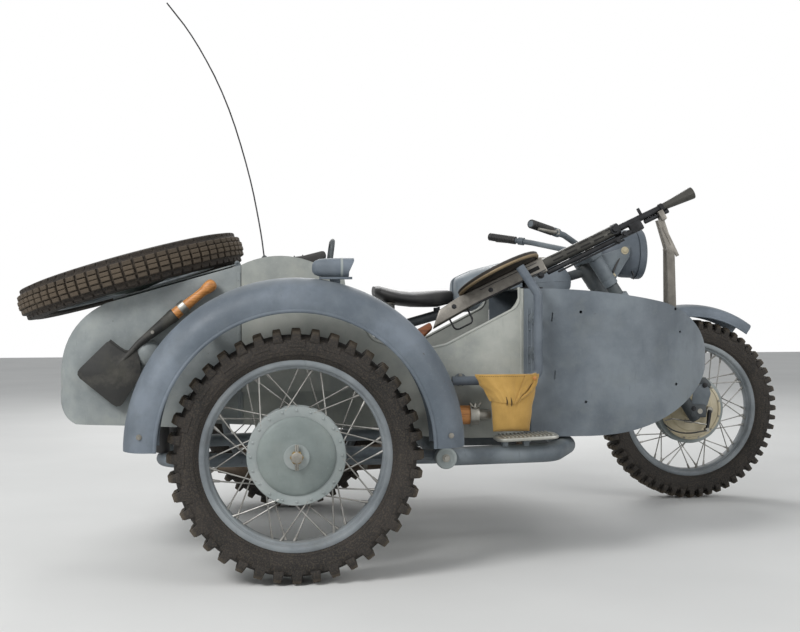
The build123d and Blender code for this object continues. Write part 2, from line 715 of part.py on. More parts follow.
def make_shock():
    # Its top stands under the pillion's rail and its foot on the swing arm's lug.
    top_z = rear_rail_z(55) - REAR_RAIL_TUBE + 13
    body_foot, body_top = (14, SHOCK_Y, SHOCK_FOOT_Z + 50), (46, SHOCK_Y, top_z - 45)
    stem = rod((5, SHOCK_Y, SHOCK_FOOT_Z + 2), body_foot, 11)
    body = rod(body_foot, body_top, SHOCK_RADIUS)
    cap = rod(body_top, (55, SHOCK_Y, top_z + 10), 12)
    return fused(body, stem, cap)


def lofted_along_x(stations, roundness):
    # Each station is x, half width, bottom and top.
    sections = []
    for x, half_width, bottom, top in stations:
        corner = min(half_width, (top - bottom) / 2) * roundness
        place = Plane((x, 0, (bottom + top) / 2), x_dir=(0, 1, 0), z_dir=(1, 0, 0))
        sections.append(place * RectangleRounded(2 * half_width, top - bottom, corner))
    return loft(sections, ruled=True)


def make_fuel_tank():
    tank = lofted_along_x([
        (TANK_FRONT_X, 64, 450, 512),
        (TANK_FRONT_X - 34, 106, 426, 545),
        (TANK_FRONT_X - 90, 130, 408, 560),
        (TANK_FRONT_X - 260, 138, 382, 556),
        (TANK_FRONT_X - 370, 118, 372, 528),
        (TANK_FRONT_X - 440, 92, 366, 498),
    ], 0.72)
    room = BACKBONE_RADIUS + SEAT_GAP
    depth = 200
    tunnel = Pos(0, 0, room - depth / 2) * bar(NECK_HIGH, SEAT_NODE, 2 * room, depth)
    cap = Pos(TANK_FRONT_X - 110, 0, 560) * Cylinder(TANK_CAP_RADIUS, 26)
    return fused(tank, cap) - tunnel


def make_saddle():
    return lofted_along_x([
        (301, 96, 435, 466),
        (322, 114, 416, 466),
        (352, 126, 402, 459),
        (440, 124, 388, 446),
        (490, 96, 387, 448),
        (540, 60, 388, 452),
        (600, 30, 408, 450),
    ], 0.84)


def make_saddle_mount():
    x, carrier_z, node_z = SADDLE_SPRING_X, SADDLE_CARRIER_Z, SEAT_NODE[2]
    springs = [rod((x, side * SADDLE_SPRING_Y, carrier_z + 6), (x, side * SADDLE_SPRING_Y, carrier_z + 56),
                   SADDLE_SPRING_RADIUS) for side in (-1, 1)]
    carrier = bar((x, -SADDLE_SPRING_Y - 22, carrier_z), (x, SADDLE_SPRING_Y + 22, carrier_z), 34, 14)
    post = rod((x, 0, node_z), (x, 0, carrier_z - 4), 12)
    nose_post = rod((540, 0, node_z + 60), (540, 0, node_z + 95), 12)
    tube_space = rod(NECK_HIGH, SEAT_NODE, BACKBONE_RADIUS + SEAT_GAP)
    saddle_space = Pos(0, 0, -SEAT_GAP) * make_saddle()
    return [fused(carrier, post, *springs) - tube_space - saddle_space, nose_post - tube_space - saddle_space]


def make_pillion():
    base = PILLION_BASE_Z
    return side_plate([
        (-92, base + 20), (-78, base + 54), (40, base + 68), (118, base + 88), (126, base + 64), (82, base),
        (-82, base),
    ], -PILLION_HALF_WIDTH, PILLION_HALF_WIDTH)


def make_pillion_mount():
    y, low = PILLION_RAIL_Y, PILLION_BASE_Z - 48
    high = PILLION_BASE_Z + PILLION_HANDLE_RISE
    pieces = [pipe([(128, -y, low), (150, -y, high), (150, y, high), (128, y, low)], 8, 34)]
    for x in (-60, 60):
        pieces.append(bar((x, -y - 4, low), (x, y + 4, low), 20, 12))
        pieces.append(rod((x, 0, low), (x, 0, PILLION_BASE_Z - SEAT_GAP), 20))
        foot = rear_rail_z(x) + REAR_RAIL_TUBE + 2
        for side in (-1, 1):
            leg_y = side * (y + 4)
            pieces.append(block(x - 9, x + 9, leg_y - 9, leg_y + 9, foot, low + 2))
    for side in (-1, 1):
        pieces.append(bar((-70, side * y, low), (140, side * y, low), 16, 12))
    return fused(*pieces)


def make_rear_guard():
    return make_guard(REAR_GUARD_HALF_WIDTH, REAR_GUARD_RADIUS, 42, 158)


def make_stand():
    tip = STAND_PIVOT_X - STAND_LENGTH
    foot_z = STAND_PIVOT_Z - STAND_DROP
    spread = STAND_HALF_WIDTH * 1.3
    pin = STAND_HALF_WIDTH + 28
    cross_x = STAND_PIVOT_X - 44
    cross_z = STAND_PIVOT_Z - STAND_DROP * 44 / STAND_LENGTH
    pieces = [rod((STAND_PIVOT_X, -pin, STAND_PIVOT_Z), (STAND_PIVOT_X, pin, STAND_PIVOT_Z), STAND_PIN_RADIUS)]
    pieces.append(rod((cross_x, -STAND_HALF_WIDTH, cross_z), (cross_x, STAND_HALF_WIDTH, cross_z), 8))
    for side in (-1, 1):
        foot = side * spread
        pieces.append(bar((STAND_PIVOT_X, side * STAND_HALF_WIDTH, STAND_PIVOT_Z), (tip, foot, foot_z), 14, 20))
        pieces.append(block(tip - 40, tip + 10, foot - 16, foot + 16, foot_z - 8, foot_z + 8))
    return fused(*pieces)


def make_footrest():
    return rod((FOOTREST_X, CRADLE_HALF_WIDTH + FRAME_TUBE + SEAT_GAP, CRADLE_HEIGHT),
               (FOOTREST_X, FOOTREST_END_Y, CRADLE_HEIGHT), FOOTREST_RADIUS)


# Sidecar body

def floor_z(x):
    if x >= FLOOR_FLAT_X:
        return BODY_FLOOR_FRONT
    slope = (BODY_FLOOR_REAR - BODY_FLOOR_FRONT) / (FLOOR_FLAT_X - TRUNK_FLOOR_X)
    return BODY_FLOOR_FRONT + (FLOOR_FLAT_X - x) * slope


def trunk_top_z(x):
    return TRUNK_TOP_FRONT_Z - (TRUNK_FRONT_X - x) * math.tan(math.radians(TRUNK_SLOPE))


def rounded_outline(rows, inset):
    # Rows are u, v, inward u, inward v and kind: a corner, or the middle of an arc between two.
    points = [(u + inward_u * inset, v + inward_v * inset, kind) for u, v, inward_u, inward_v, kind in rows]
    edges = []
    for index, (u, v, kind) in enumerate(points):
        if kind == "arc":
            continue
        follow = points[(index + 1) % len(points)]
        if follow[2] == "arc":
            beyond = points[(index + 2) % len(points)]
            edges.append(ThreePointArc((u, v), follow[:2], beyond[:2]))
        else:
            edges.append(Line((u, v), follow[:2]))
    return make_face(edges)


def body_side(inset):
    # The side view: flat floor, round nose, hump behind the seat, sloping trunk.
    trunk_rear_x = TRUNK_FRONT_X - TRUNK_TOP_LENGTH
    return Plane.XZ * rounded_outline([
        (TRUNK_FLOOR_X, BODY_FLOOR_REAR, 0, 1, "corner"),
        (FLOOR_FLAT_X, BODY_FLOOR_FRONT, 0, 1, "corner"),
        (850, BODY_FLOOR_FRONT, 0, 1, "corner"),
        (1120, 84, -0.45, 0.9, "arc"),
        (1298, 226, -1, 0, "corner"),
        (1222, 328, -0.7, -0.7, "arc"),
        (1075, 407, -0.3, -0.95, "corner"),
        (880, 437, 0, -1, "arc"),
        (NOSE_REAR_X, 446, 0, -1, "corner"),
        (106, 489, 0, -1, "corner"),
        (-20, 538, 0, -1, "arc"),
        (TRUNK_FRONT_X, TRUNK_TOP_FRONT_Z, 0, -1.04, "corner"),
        (trunk_rear_x, trunk_top_z(trunk_rear_x), 0.3, -1.04, "corner"),
        (-622, 316, 0.95, -0.3, "arc"),
        (-653, 168, 1, 0, "corner"),
        (-645, 104, 0.9, 0.4, "arc"),
        (-605, 72, 0.2, 1, "corner"),
    ], inset)


def body_plan(inset):
    # The plan view: straight sides, round nose, rounded rear corners.
    middle = (BODY_OUTER_Y + BODY_INNER_Y) / 2
    return rounded_outline([
        (-560, BODY_OUTER_Y, 0, 1, "corner"),
        (900, BODY_OUTER_Y, 0, 1, "corner"),
        (1190, BODY_OUTER_Y + 84, -0.5, 0.87, "arc"),
        (1300, middle, -1, 0, "corner"),
        (1190, BODY_INNER_Y - 84, -0.5, -0.87, "arc"),
        (900, BODY_INNER_Y, 0, -1, "corner"),
        (-560, BODY_INNER_Y, 0, -1, "corner"),
        (-640, BODY_INNER_Y - 40, 0.7, -0.7, "arc"),
        (-664, BODY_INNER_Y - 110, 1, 0, "corner"),
        (-664, BODY_OUTER_Y + 110, 1, 0, "corner"),
        (-640, BODY_OUTER_Y + 40, 0.7, 0.7, "arc"),
    ], inset)


def body_form(inset):
    # What the side view and the plan view share, less a recess beside the sidecar's wheel.
    side = Pos(0, BODY_INNER_Y + OVERCUT, 0) * extrude(body_side(inset), amount=BODY_WIDTH + 2 * OVERCUT)
    plan = Pos(0, 0, BODY_LOW) * extrude(body_plan(inset), amount=BODY_HIGH - BODY_LOW)
    recess = block(-AXLE_RECESS_HALF_LENGTH - inset, AXLE_RECESS_HALF_LENGTH + inset,
                   BODY_OUTER_Y - 10, BODY_OUTER_Y + AXLE_RECESS_DEPTH + inset,
                   BODY_LOW, AXLE_RECESS_TOP + inset)
    return side & plan - recess


def body_part(x_from, x_to):
    return block(x_from, x_to, BODY_OUTER_Y - OVERCUT, BODY_INNER_Y + OVERCUT, BODY_LOW, BODY_HIGH)


def make_body_panels():
    form = body_form(0)
    shell = form - body_form(BODY_WALL)
    entry = side_plate([
        (NOSE_REAR_X - 12, BODY_HIGH), (NOSE_REAR_X - 12, 396), (430, 286), (330, 264), (220, 300),
        (150, 400), (112, BODY_HIGH),
    ], BODY_OUTER_Y - 20, BODY_INNER_Y + 20)
    lid_hole = trunk_box(LID_REAR_X + 35, LID_FRONT_X - 12, 40, -40)
    shell = shell - entry - lid_hole
    half_gap = PANEL_GAP / 2
    nose = shell & body_part(NOSE_REAR_X + half_gap, BODY_REACH)
    tub = shell & body_part(TRUNK_FRONT_X + half_gap, NOSE_REAR_X - half_gap)
    trunk = shell & body_part(-BODY_REACH, TRUNK_FRONT_X - half_gap)
    bulkhead = form & body_part(TRUNK_FRONT_X - half_gap - BODY_WALL, TRUNK_FRONT_X - half_gap)
    return nose, tub, fused(trunk, bulkhead)


def slope_plane(x, y, lift):
    # A plane on the trunk's sloping top, its X running forward and up.
    up = (-math.sin(math.radians(TRUNK_SLOPE)), 0, math.cos(math.radians(TRUNK_SLOPE)))
    along = (math.cos(math.radians(TRUNK_SLOPE)), 0, math.sin(math.radians(TRUNK_SLOPE)))
    origin = Vector(x, y, trunk_top_z(x)) + Vector(*up) * lift
    return Plane(origin, x_dir=along, z_dir=up)


def trunk_box(x_from, x_to, top, bottom, margin=60):
    middle_x = (x_from + x_to) / 2
    middle_y = (BODY_OUTER_Y + BODY_INNER_Y) / 2
    length = (x_to - x_from) / math.cos(math.radians(TRUNK_SLOPE))
    width = BODY_WIDTH - 2 * margin
    return slope_plane(middle_x, middle_y, (top + bottom) / 2) * Box(length, width, top - bottom)


def across_hinge(y, radius, length):
    hinge = slope_plane(LID_HINGE_X, SPARE_Y, LID_HINGE_LIFT)
    return hinge * Pos(0, y, 0) * Rot(90, 0, 0) * Cylinder(radius, length)


def make_trunk_lid():
    hinge = slope_plane(LID_HINGE_X, SPARE_Y, LID_HINGE_LIFT)
    lid = trunk_box(LID_REAR_X, LID_FRONT_X, LID_GAP + LID_THICKNESS, LID_GAP, margin=40)
    for y in (-HINGE_SPACING, HINGE_SPACING):
        strap = hinge * Pos(-15, y, -3) * Box(26, 60, 4)
        lid = fused(lid, across_hinge(y, LID_HINGE_RADIUS, 60), strap)
    for y in (-HINGE_SPACING, HINGE_SPACING):
        lid = lid - across_hinge(y, HINGE_PIN_RADIUS + RUNNING_GAP, 70)
    handle = slope_plane(LID_REAR_X + 12, SPARE_Y + 180, LID_GAP + LID_THICKNESS + 5) * Box(18, 70, 10)
    return fused(lid, handle)


def make_lid_hinge():
    hinge = slope_plane(LID_HINGE_X, SPARE_Y, LID_HINGE_LIFT)
    ear_height = LID_HINGE_LIFT - SEAT_GAP
    pieces = []
    for y in (-HINGE_SPACING, HINGE_SPACING):
        pieces.append(across_hinge(y, HINGE_PIN_RADIUS, 100))
        for end in (y - 42, y + 42):
            pieces.append(hinge * Pos(0, end, -ear_height / 2) * Box(14, 12, ear_height))
            pieces.append(across_hinge(end, LID_HINGE_RADIUS - 2, 12))
    return pieces


SPARE_HEIGHT = LID_GAP + LID_THICKNESS + SPARE_TYRE_HALF_WIDTH + SPARE_LIFT


def lay_spare(shape):
    # The wheel's axis, along Y as drawn, is stood on the lid with its cover down.
    return slope_plane(SPARE_X, SPARE_Y, SPARE_HEIGHT) * Rot(90, 0, 0) * shape


def make_spare_carrier():
    foot = LID_GAP + LID_THICKNESS + SEAT_GAP
    top = SPARE_HEIGHT + HUB_BRAKE_FACE + 22
    base = slope_plane(SPARE_X, SPARE_Y, 0)
    stud = base * Pos(0, 0, (foot + top) / 2) * Cylinder(AXLE_RADIUS, top - foot)
    nut = base * Pos(0, 0, SPARE_HEIGHT + HUB_BRAKE_FACE + SEAT_GAP + 7) * Cylinder(30, 14)
    return fused(stud, nut)


def make_seat():
    front, rear = SEAT_FRONT_X, SEAT_REAR_X
    seat_top = AXLE_RECESS_TOP + BODY_WALL
    cushion = side_plate([
        (rear, floor_z(rear) + BODY_WALL + 0.5), (front, floor_z(front) + BODY_WALL + 4),
        (front, seat_top + 10), (rear + 80, seat_top), (rear, seat_top),
    ], BODY_OUTER_Y + AXLE_RECESS_DEPTH + 20, BODY_INNER_Y - 24)
    foot = seat_top + SEAT_GAP
    back = side_plate([
        (rear - 10, foot), (rear + 76, foot), (rear + 6, 450), (rear - 60, 460),
    ], BODY_OUTER_Y + 40, BODY_INNER_Y - 40)
    return cushion, back


# Sidecar running gear

ARM_PIVOT = (ARM_PIVOT_X, OUTER_RAIL_Y, ARM_PIVOT_Z)
FRONT_TUBE_END = (FRONT_TUBE_X, OUTER_RAIL_Y, FRONT_TUBE_Z)
INNER_RAIL_ENDS = (
    (INNER_RAIL_FRONT[0], INNER_RAIL_Y, INNER_RAIL_FRONT[1]),
    (INNER_RAIL_BACK[0], INNER_RAIL_Y, INNER_RAIL_BACK[1]),
)


def inner_rail_z(x):
    run = INNER_RAIL_FRONT[0] - INNER_RAIL_BACK[0]
    return INNER_RAIL_FRONT[1] + (INNER_RAIL_FRONT[0] - x) * (INNER_RAIL_BACK[1] - INNER_RAIL_FRONT[1]) / run


def make_sidecar_frame():
    return fused(
        rod((ARM_PIVOT_X, OUTER_RAIL_Y - 8, ARM_PIVOT_Z), (ARM_PIVOT_X, INNER_RAIL_Y, ARM_PIVOT_Z), PIVOT_TUBE),
        pipe([
            ARM_PIVOT,
            FRONT_TUBE_END,
            (FRONT_TUBE_X + 80, OUTER_RAIL_Y + 160, FRONT_TUBE_Z),
            (FRONT_TUBE_X + 110, INNER_RAIL_Y, FRONT_TUBE_Z),
        ], OUTER_TUBE, 60),
        rod(*INNER_RAIL_ENDS, SIDECAR_TUBE),
        pipe([
            (REAR_LOOP_X, INNER_RAIL_Y, REAR_LOOP_Z),
            (REAR_LOOP_X, REAR_LOOP_Y, REAR_LOOP_Z),
            (ARM_PIVOT_X, REAR_LOOP_Y, REAR_LOOP_Z - 1),
        ], SIDECAR_TUBE, 70),
    )


def make_struts():
    rail_space = rod(*INNER_RAIL_ENDS, SIDECAR_TUBE + SEAT_GAP)
    space = FRAME_TUBE + SEAT_GAP
    y = -CRADLE_HALF_WIDTH
    cradle_rear = (UPRIGHT_X, y, CRADLE_HEIGHT)
    down_top, down_foot = on_side(DOWN_TUBE_TOP, -1), on_side(DOWN_TUBE_FOOT, -1)
    bottom = rod(down_foot, cradle_rear, space)
    upright = rod((UPRIGHT_X, y, CRADLE_HEIGHT + 40), (UPRIGHT_X, y, SEAT_NODE[2] - 160), space)
    down = rod(down_top, down_foot, space)
    half_down = tuple((Vector(*down_top) + Vector(*down_foot)) / 2)
    struts = []
    for start, end_x, seat in (
        ((DOWN_TUBE_FOOT_X - 90, y, CRADLE_HEIGHT), FRONT_TUBE_X + 100, bottom),
        ((UPRIGHT_X + 120, y, CRADLE_HEIGHT), UPRIGHT_X + 30, bottom),
        (half_down, FRONT_TUBE_X + 40, down),
        ((UPRIGHT_X, y, SEAT_NODE[2] - 200), UPRIGHT_X - 140, upright),
    ):
        strut = rod(start, (end_x, INNER_RAIL_Y, inner_rail_z(end_x)), STRUT_RADIUS)
        struts.append((strut - rail_space - seat).solids().sort_by(SortBy.VOLUME)[-1])
    return struts


def make_body_mounts():
    on_loop, on_front = REAR_LOOP_Z + SIDECAR_TUBE, FRONT_TUBE_Z + OUTER_TUBE
    pads = []
    for x, y, foot in (
        (REAR_LOOP_X, BODY_INNER_Y - 90, on_loop),
        (REAR_LOOP_X, BODY_OUTER_Y + 110, on_loop),
        (FRONT_TUBE_X + 95, BODY_INNER_Y - 110, on_front),
        (FRONT_TUBE_X + 92, BODY_OUTER_Y + 200, on_front),
    ):
        pads.append(Pos(x, y, (foot + floor_z(x)) / 2 - 0.6) * Cylinder(20, floor_z(x) - foot - 1.8))
    return pads


def make_sidecar_arm():
    lug_start = (ARM_PIVOT_X - 62, ARM_Y, ARM_PIVOT_Z + 3)
    plate_outer = HUB_BRAKE_FACE + BRAKE_GAP - TRACK
    pieces = [
        rod((0, ARM_Y - 30, 0), (0, ARM_Y + 34, 0), ARM_EYE_RADIUS),
        rod((0, ARM_Y, 0), lug_start, ARM_TUBE),
        rod(lug_start, (ARM_PIVOT_X - PIVOT_TUBE - SEAT_GAP, ARM_Y, ARM_PIVOT_Z), ARM_TUBE),
        rod((0, plate_outer, 0), (0, plate_outer + 8, 0), HUB_COVER_RADIUS + 8),
        rod((0, plate_outer, 0), (0, ARM_Y, 0), ARM_EYE_RADIUS),
    ]
    return fused(*pieces) - rod((0, -TRACK, 0), (0, ARM_Y + 60, 0), AXLE_RADIUS + RUNNING_GAP)


def make_sidecar_shaft():
    nut_face = -TRACK - HUB_COVER_FACE - SEAT_GAP
    shaft = rod((0, nut_face - 1.7, 0), (0, -140, 0), AXLE_RADIUS)
    nut = Plane((0, nut_face, 0), z_dir=(0, -1, 0)) * RegularPolygon(NUT_RADIUS, 6)
    coupling = rod((0, -175, 0), (0, -133, 0), COUPLING_RADIUS)
    return fused(shaft, extrude(nut, amount=NUT_LENGTH), coupling)


def sidecar_guard_outline(inset):
    lip, crown = GUARD_LIP_RADIUS, GUARD_CROWN_RADIUS - inset
    outer, inner = GUARD_OUTER_Y + inset, GUARD_INNER_Y - inset
    return [
        (outer, lip), (outer, lip + 34), (outer + 18, crown - 26), (outer + 52, crown - 4),
        (outer + 90, crown), (inner - 24, crown - 8), (inner, crown - 24), (inner, lip + 6),
    ]


def make_sidecar_guard():
    core = sidecar_guard_outline(SHEET)
    core[0] = (core[0][0], GUARD_LIP_RADIUS - 10)
    core[-1] = (core[-1][0], GUARD_LIP_RADIUS - 10)
    shell = spin(sidecar_guard_outline(0), 0, 180) - spin(core, -3, 186)
    bead_low, bead_high = GUARD_LIP_RADIUS - 4, GUARD_LIP_RADIUS + 5
    bead = spin([
        (GUARD_OUTER_Y - 4, bead_low), (GUARD_OUTER_Y - 4, bead_high),
        (GUARD_OUTER_Y + 5, bead_high), (GUARD_OUTER_Y + 5, bead_low),
    ], 0, 180)
    stays = []
    for angle in (20, 80, 128):
        x, _, z = on_polar(GUARD_CROWN_RADIUS - 30, angle, 0)
        stays.append(rod((x, GUARD_INNER_Y - 1, z), (x, BODY_OUTER_Y - SEAT_GAP, z), GUARD_STAY_RADIUS))
    return Pos(0, 0, GUARD_CENTRE_Z) * fused(shell, bead, *stays)


def make_marker_lamp():
    outline = Polyline(*[(x, 0, radius) for x, radius in (
        (-62, 0), (-50, 18), (-30, 23), (18, 25), (30, 27), (50, 27), (50, 0),
    )], close=True)
    crown = GUARD_CENTRE_Z + GUARD_CROWN_RADIUS
    body = Pos(MARKER_X, MARKER_Y, crown + MARKER_RISE) * revolve(make_face(outline), axis=Axis.X)
    foot = block(MARKER_X - 16, MARKER_X + 16, MARKER_Y - 8, MARKER_Y + 8, crown - 14, crown + 4)
    guard_space = Pos(0, 0, GUARD_CENTRE_Z) * spin(sidecar_guard_outline(-SEAT_GAP), 0, 180)
    return fused(body, foot) - guard_space


def make_grab_rail():
    x, low, high = GRAB_X, 185, 430
    rail = pipe([
        (x - 48, GRAB_Y + 20, high + 78), (x, GRAB_Y, high), (x, GRAB_Y, low + 15),
        (x - 48, GRAB_Y, low), (x - 248, GRAB_Y, low),
    ], GRAB_RADIUS, [14, 14, 30])
    feet = [rod((foot_x, GRAB_Y, z), (foot_x, BODY_OUTER_Y - SEAT_GAP, z), 9)
            for foot_x, z in ((x, high - 70), (x, low + 75), (x - 218, low))]
    return fused(rail, *feet)


def make_step_plate():
    plate = Pos(STEP_X, OUTER_RAIL_Y, STEP_Z) * Rot(0, -2.6, 0) * Box(176, 104, 14)
    feet = [block(x - 8, x + 8, OUTER_RAIL_Y - 12, OUTER_RAIL_Y + 12, ARM_PIVOT_Z, STEP_Z)
            for x in (STEP_X - 60, STEP_X)]
    tube_space = rod(ARM_PIVOT, FRONT_TUBE_END, OUTER_TUBE + SEAT_GAP)
    under = block(STEP_X - 200, STEP_X + 200, OUTER_RAIL_Y - 60, OUTER_RAIL_Y + 60,
                  ARM_PIVOT_Z - 60, ARM_PIVOT_Z + 12)
    return fused(plate, *feet) - tube_space - under


def make_bag():
    face = GRAB_Y - GRAB_RADIUS - SEAT_GAP
    return side_plate([
        (510, 200), (684, 204), (670, 60), (550, 56), (546, 26), (528, 26),
    ], face, face - BAG_THICKNESS)


SHOVEL_TOP = (-221, SHOVEL_Y, 465)
SHOVEL_NECK = (-330, SHOVEL_Y, 376)
SHOVEL_TIP = (-430, SHOVEL_Y, 294)


def make_shovel():
    socket_start, socket_end = Vector(*SHOVEL_NECK) + Vector(-0.4, 0, -0.3), Vector(*SHOVEL_TIP)
    socket = Solid.make_cone(SHOVEL_HANDLE_RADIUS + 2, 10, (socket_end - socket_start).length,
                             Plane(socket_start, z_dir=socket_end - socket_start))
    blade = side_plate([(-400, 350), (-452, 220), (-468, 130), (-592, 212), (-500, 310)],
                       SHOVEL_Y + 3, SHOVEL_Y - 3)
    return rod(SHOVEL_TOP, SHOVEL_NECK, SHOVEL_HANDLE_RADIUS), fused(socket, blade)


def along_tool(x_from, x_to, radius):
    return rod((x_from, TOOL_Y, TOOL_Z), (x_to, TOOL_Y, TOOL_Z), radius)


def make_tool():
    return fused(along_tool(392, 517, TOOL_RADIUS), along_tool(517, 552, 16))


def make_clamps():
    foot = block(493, 512, TOOL_Y + 20, BODY_OUTER_Y - SEAT_GAP, TOOL_Z - 12, TOOL_Z + 12)
    band = along_tool(490, 515, TOOL_RADIUS + 3)
    tool_clamp = fused(band, foot) - along_tool(480, 525, TOOL_RADIUS + SEAT_GAP)
    along = (Vector(*SHOVEL_NECK) - Vector(*SHOVEL_TOP)).normalized()
    start = Vector(*SHOVEL_TOP) + along * 102
    collar = rod(start, start + along * 20, SHOVEL_HANDLE_RADIUS + 3)
    collar_foot = block(start.X - 18, start.X + 6, SHOVEL_Y + 12, BODY_OUTER_Y - SEAT_GAP,
                        start.Z - 18, start.Z + 8)
    shovel_space = rod(start - along * 20, start + along * 40, SHOVEL_HANDLE_RADIUS + SEAT_GAP)
    return tool_clamp, fused(collar, collar_foot) - shovel_space


def make_aerial():
    whip = [(-92, 550), (-103, 640), (-139, 828), (-212, 1068), (-312, 1260), (-400, 1372)]
    points = [(x, AERIAL_Y, z) for x, z in whip]
    pieces = [rod(first, second, AERIAL_RADIUS) for first, second in zip(points, points[1:])]
    pieces += [Pos(*point) * Sphere(AERIAL_RADIUS) for point in points[1:-1]]
    base = rod((-90, AERIAL_Y, 520), (-92, AERIAL_Y, 562), AERIAL_BASE_RADIUS) - body_form(-SEAT_GAP)
    return fused(base, *pieces)


# Gun, drawn with its U forward along the barrel from the front of the receiver

GUN_FRAME = (
    Pos(GUN_FRONT_X, GUN_Y, GUN_FRONT_Z) * Rot(0, -GUN_PITCH, 0) * Rot(-GUN_ROLL, 0, 0)
)


def along_gun(u_from, u_to, w, radius):
    return rod((u_from, 0, w), (u_to, 0, w), radius)


def make_gun_body():
    half = RECEIVER_HALF_WIDTH
    receiver = side_plate([
        (STOCK_START + SEAT_GAP, -24), (-344, 16), (-270, RECEIVER_TOP), (0, RECEIVER_TOP), (0, -22),
        (-40, GUN_UNDERSIDE), (-240, GUN_UNDERSIDE),
    ], -half, half)
    pieces = [
        along_gun(0, JACKET_LENGTH, BORE_LINE, JACKET_RADIUS),
        along_gun(JACKET_LENGTH, BARREL_END, BORE_LINE, BARREL_RADIUS),
        Solid.make_cone(11, 19, 105, Plane((BARREL_END, 0, BORE_LINE), z_dir=(1, 0, 0))),
        along_gun(0, JACKET_LENGTH + 45, -22, BARREL_RADIUS),
        block(JACKET_LENGTH + 30, JACKET_LENGTH + 70, -9, 9, -30, 10),
        block(JACKET_LENGTH + 75, JACKET_LENGTH + 89, -3, 3, 8, 34),
        block(-330, -262, -3, 3, -62, -56),
        block(-330, -324, -3, 3, -62, -20),
        block(-268, -262, -3, 3, -62, -10),
    ]
    return GUN_FRAME * fused(receiver, *pieces)


def make_gun_magazine():
    height = RECEIVER_TOP + SEAT_GAP + PAN_THICKNESS / 2
    return GUN_FRAME * Pos(PAN_U, 0, height) * Cylinder(PAN_RADIUS, PAN_THICKNESS)


def make_gun_stock():
    start = STOCK_START
    stock = side_plate([
        (start, -24), (start, -4), (-420, -6), (-600, 2), (-628, -6), (-628, -84), (-600, -84), (-440, -42),
    ], -17, 17)
    return GUN_FRAME * stock


def make_gun_legs():
    under_barrel = BORE_LINE - BARREL_RADIUS - SEAT_GAP
    hinge = GUN_FRAME * block(BARREL_END - 23, BARREL_END - 7, -16, 16, -34, under_barrel)
    hook_y = GUN_Y - 15
    pieces = [hinge, bar((1106, hook_y, 632), (1149, hook_y, 545), 10, 5, lean=(0, 1, 0))]
    for side in (-1, 1):
        hip = (1098, GUN_Y + side * 8, 655)
        knee = (1127, GUN_Y + side * 13, 565)
        foot = (1131, GUN_Y + side * 20, 350)
        pieces.append(bar(hip, knee, 20, 8, lean=(0, 1, 0)))
        pieces.append(bar(knee, foot, 24, 8, lean=(0, 1, 0)))
        pieces.append(rod((knee[0], knee[1] - 5, knee[2]), (knee[0], knee[1] + 5, knee[2]), 12.5))
    return fused(*pieces) - body_form(-SEAT_GAP)


def make_gun_mount():
    x = GUN_POST_X
    post = rod((x, GUN_Y, 430), (x, GUN_Y, 490), 14)
    plate = block(x - 30, x + 40, GUN_Y - 34, GUN_Y + 34, 430, 451)
    gun_space = GUN_FRAME * block(-300, 60, -RECEIVER_HALF_WIDTH - 1, RECEIVER_HALF_WIDTH + 1,
                                  GUN_UNDERSIDE - SEAT_GAP, 40)
    return fused(post, plate) - body_form(-SEAT_GAP) - gun_space


def write(name, *solids):
    moved = [Pos(-ORIGIN_AHEAD, ORIGIN_RIGHT, TYRE_RADIUS) * solid for solid in solids]
    shape = moved[0] if len(moved) == 1 else Compound(children=moved)
    export_step(shape, f"parts/{name}.step")


os.makedirs("parts", exist_ok=True)
wheel = make_wheel()
tyre = make_tyre(TYRE_HALF_WIDTH)
front_tyre = make_tyre(FRONT_TYRE_HALF_WIDTH)
spare_tyre = make_tyre(SPARE_TYRE_HALF_WIDTH)
front_place = Pos(WHEELBASE, 0, 0)
sidecar_place = Pos(0, -TRACK, 0)

write("front_wheel", front_place * facing_left(wheel))
write("front_tyre", front_place * front_tyre)
write("rear_wheel", facing_left(wheel))
write("rear_tyre", tyre)
write("sidecar_wheel", sidecar_place * wheel)
write("sidecar_tyre", sidecar_place * tyre)
write("sidecar_shaft", make_sidecar_shaft())
write("spare_wheel", lay_spare(wheel))
write("spare_tyre", lay_spare(spare_tyre))
write("spare_carrier", make_spare_carrier())

write("fork", make_fork())
write("front_mudguard", make_front_guard())
write("front_brake_plate", make_brake_plate())
write("headlamp", make_headlamp())
write("handlebar", make_handlebar())

write("bike_frame", make_bike_frame())
write("engine", make_engine())
write("cylinders", *pair(make_cylinder()))
write("gearbox", make_gearbox())
write("intake", make_intake())
write("exhaust", *pair(make_exhaust()))
write("final_drive", make_final_drive())
write("swing_arm", make_swing_arm())
write("shock_absorbers", *pair(make_shock()))
write("fuel_tank", make_fuel_tank())
write("rider_saddle", make_saddle())
write("saddle_mount", *make_saddle_mount())
write("pillion_saddle", make_pillion())
write("pillion_mount", make_pillion_mount())
write("rear_mudguard", make_rear_guard())
write("centre_stand", make_stand())
write("footrests", *pair(make_footrest()))

nose, tub, trunk = make_body_panels()
write("sidecar_nose", nose)
write("sidecar_tub", tub)
write("sidecar_trunk", trunk)
write("trunk_lid", make_trunk_lid())
write("lid_hinge", *make_lid_hinge())
cushion, back = make_seat()
write("seat_cushion", cushion)
write("seat_back", back)
write("sidecar_frame", make_sidecar_frame())
write("sidecar_struts", *make_struts())
write("body_mounts", *make_body_mounts())
write("sidecar_arm", make_sidecar_arm())
write("sidecar_mudguard", make_sidecar_guard())
write("marker_lamp", make_marker_lamp())
write("grab_rail", make_grab_rail())
write("step_plate", make_step_plate())
write("canvas_bag", make_bag())
shovel_handle, shovel_blade = make_shovel()
write("shovel_handle", shovel_handle)
write("shovel_blade", shovel_blade)
write("tool_handle", make_tool())
write("tool_clamps", *make_clamps())
write("aerial", make_aerial())

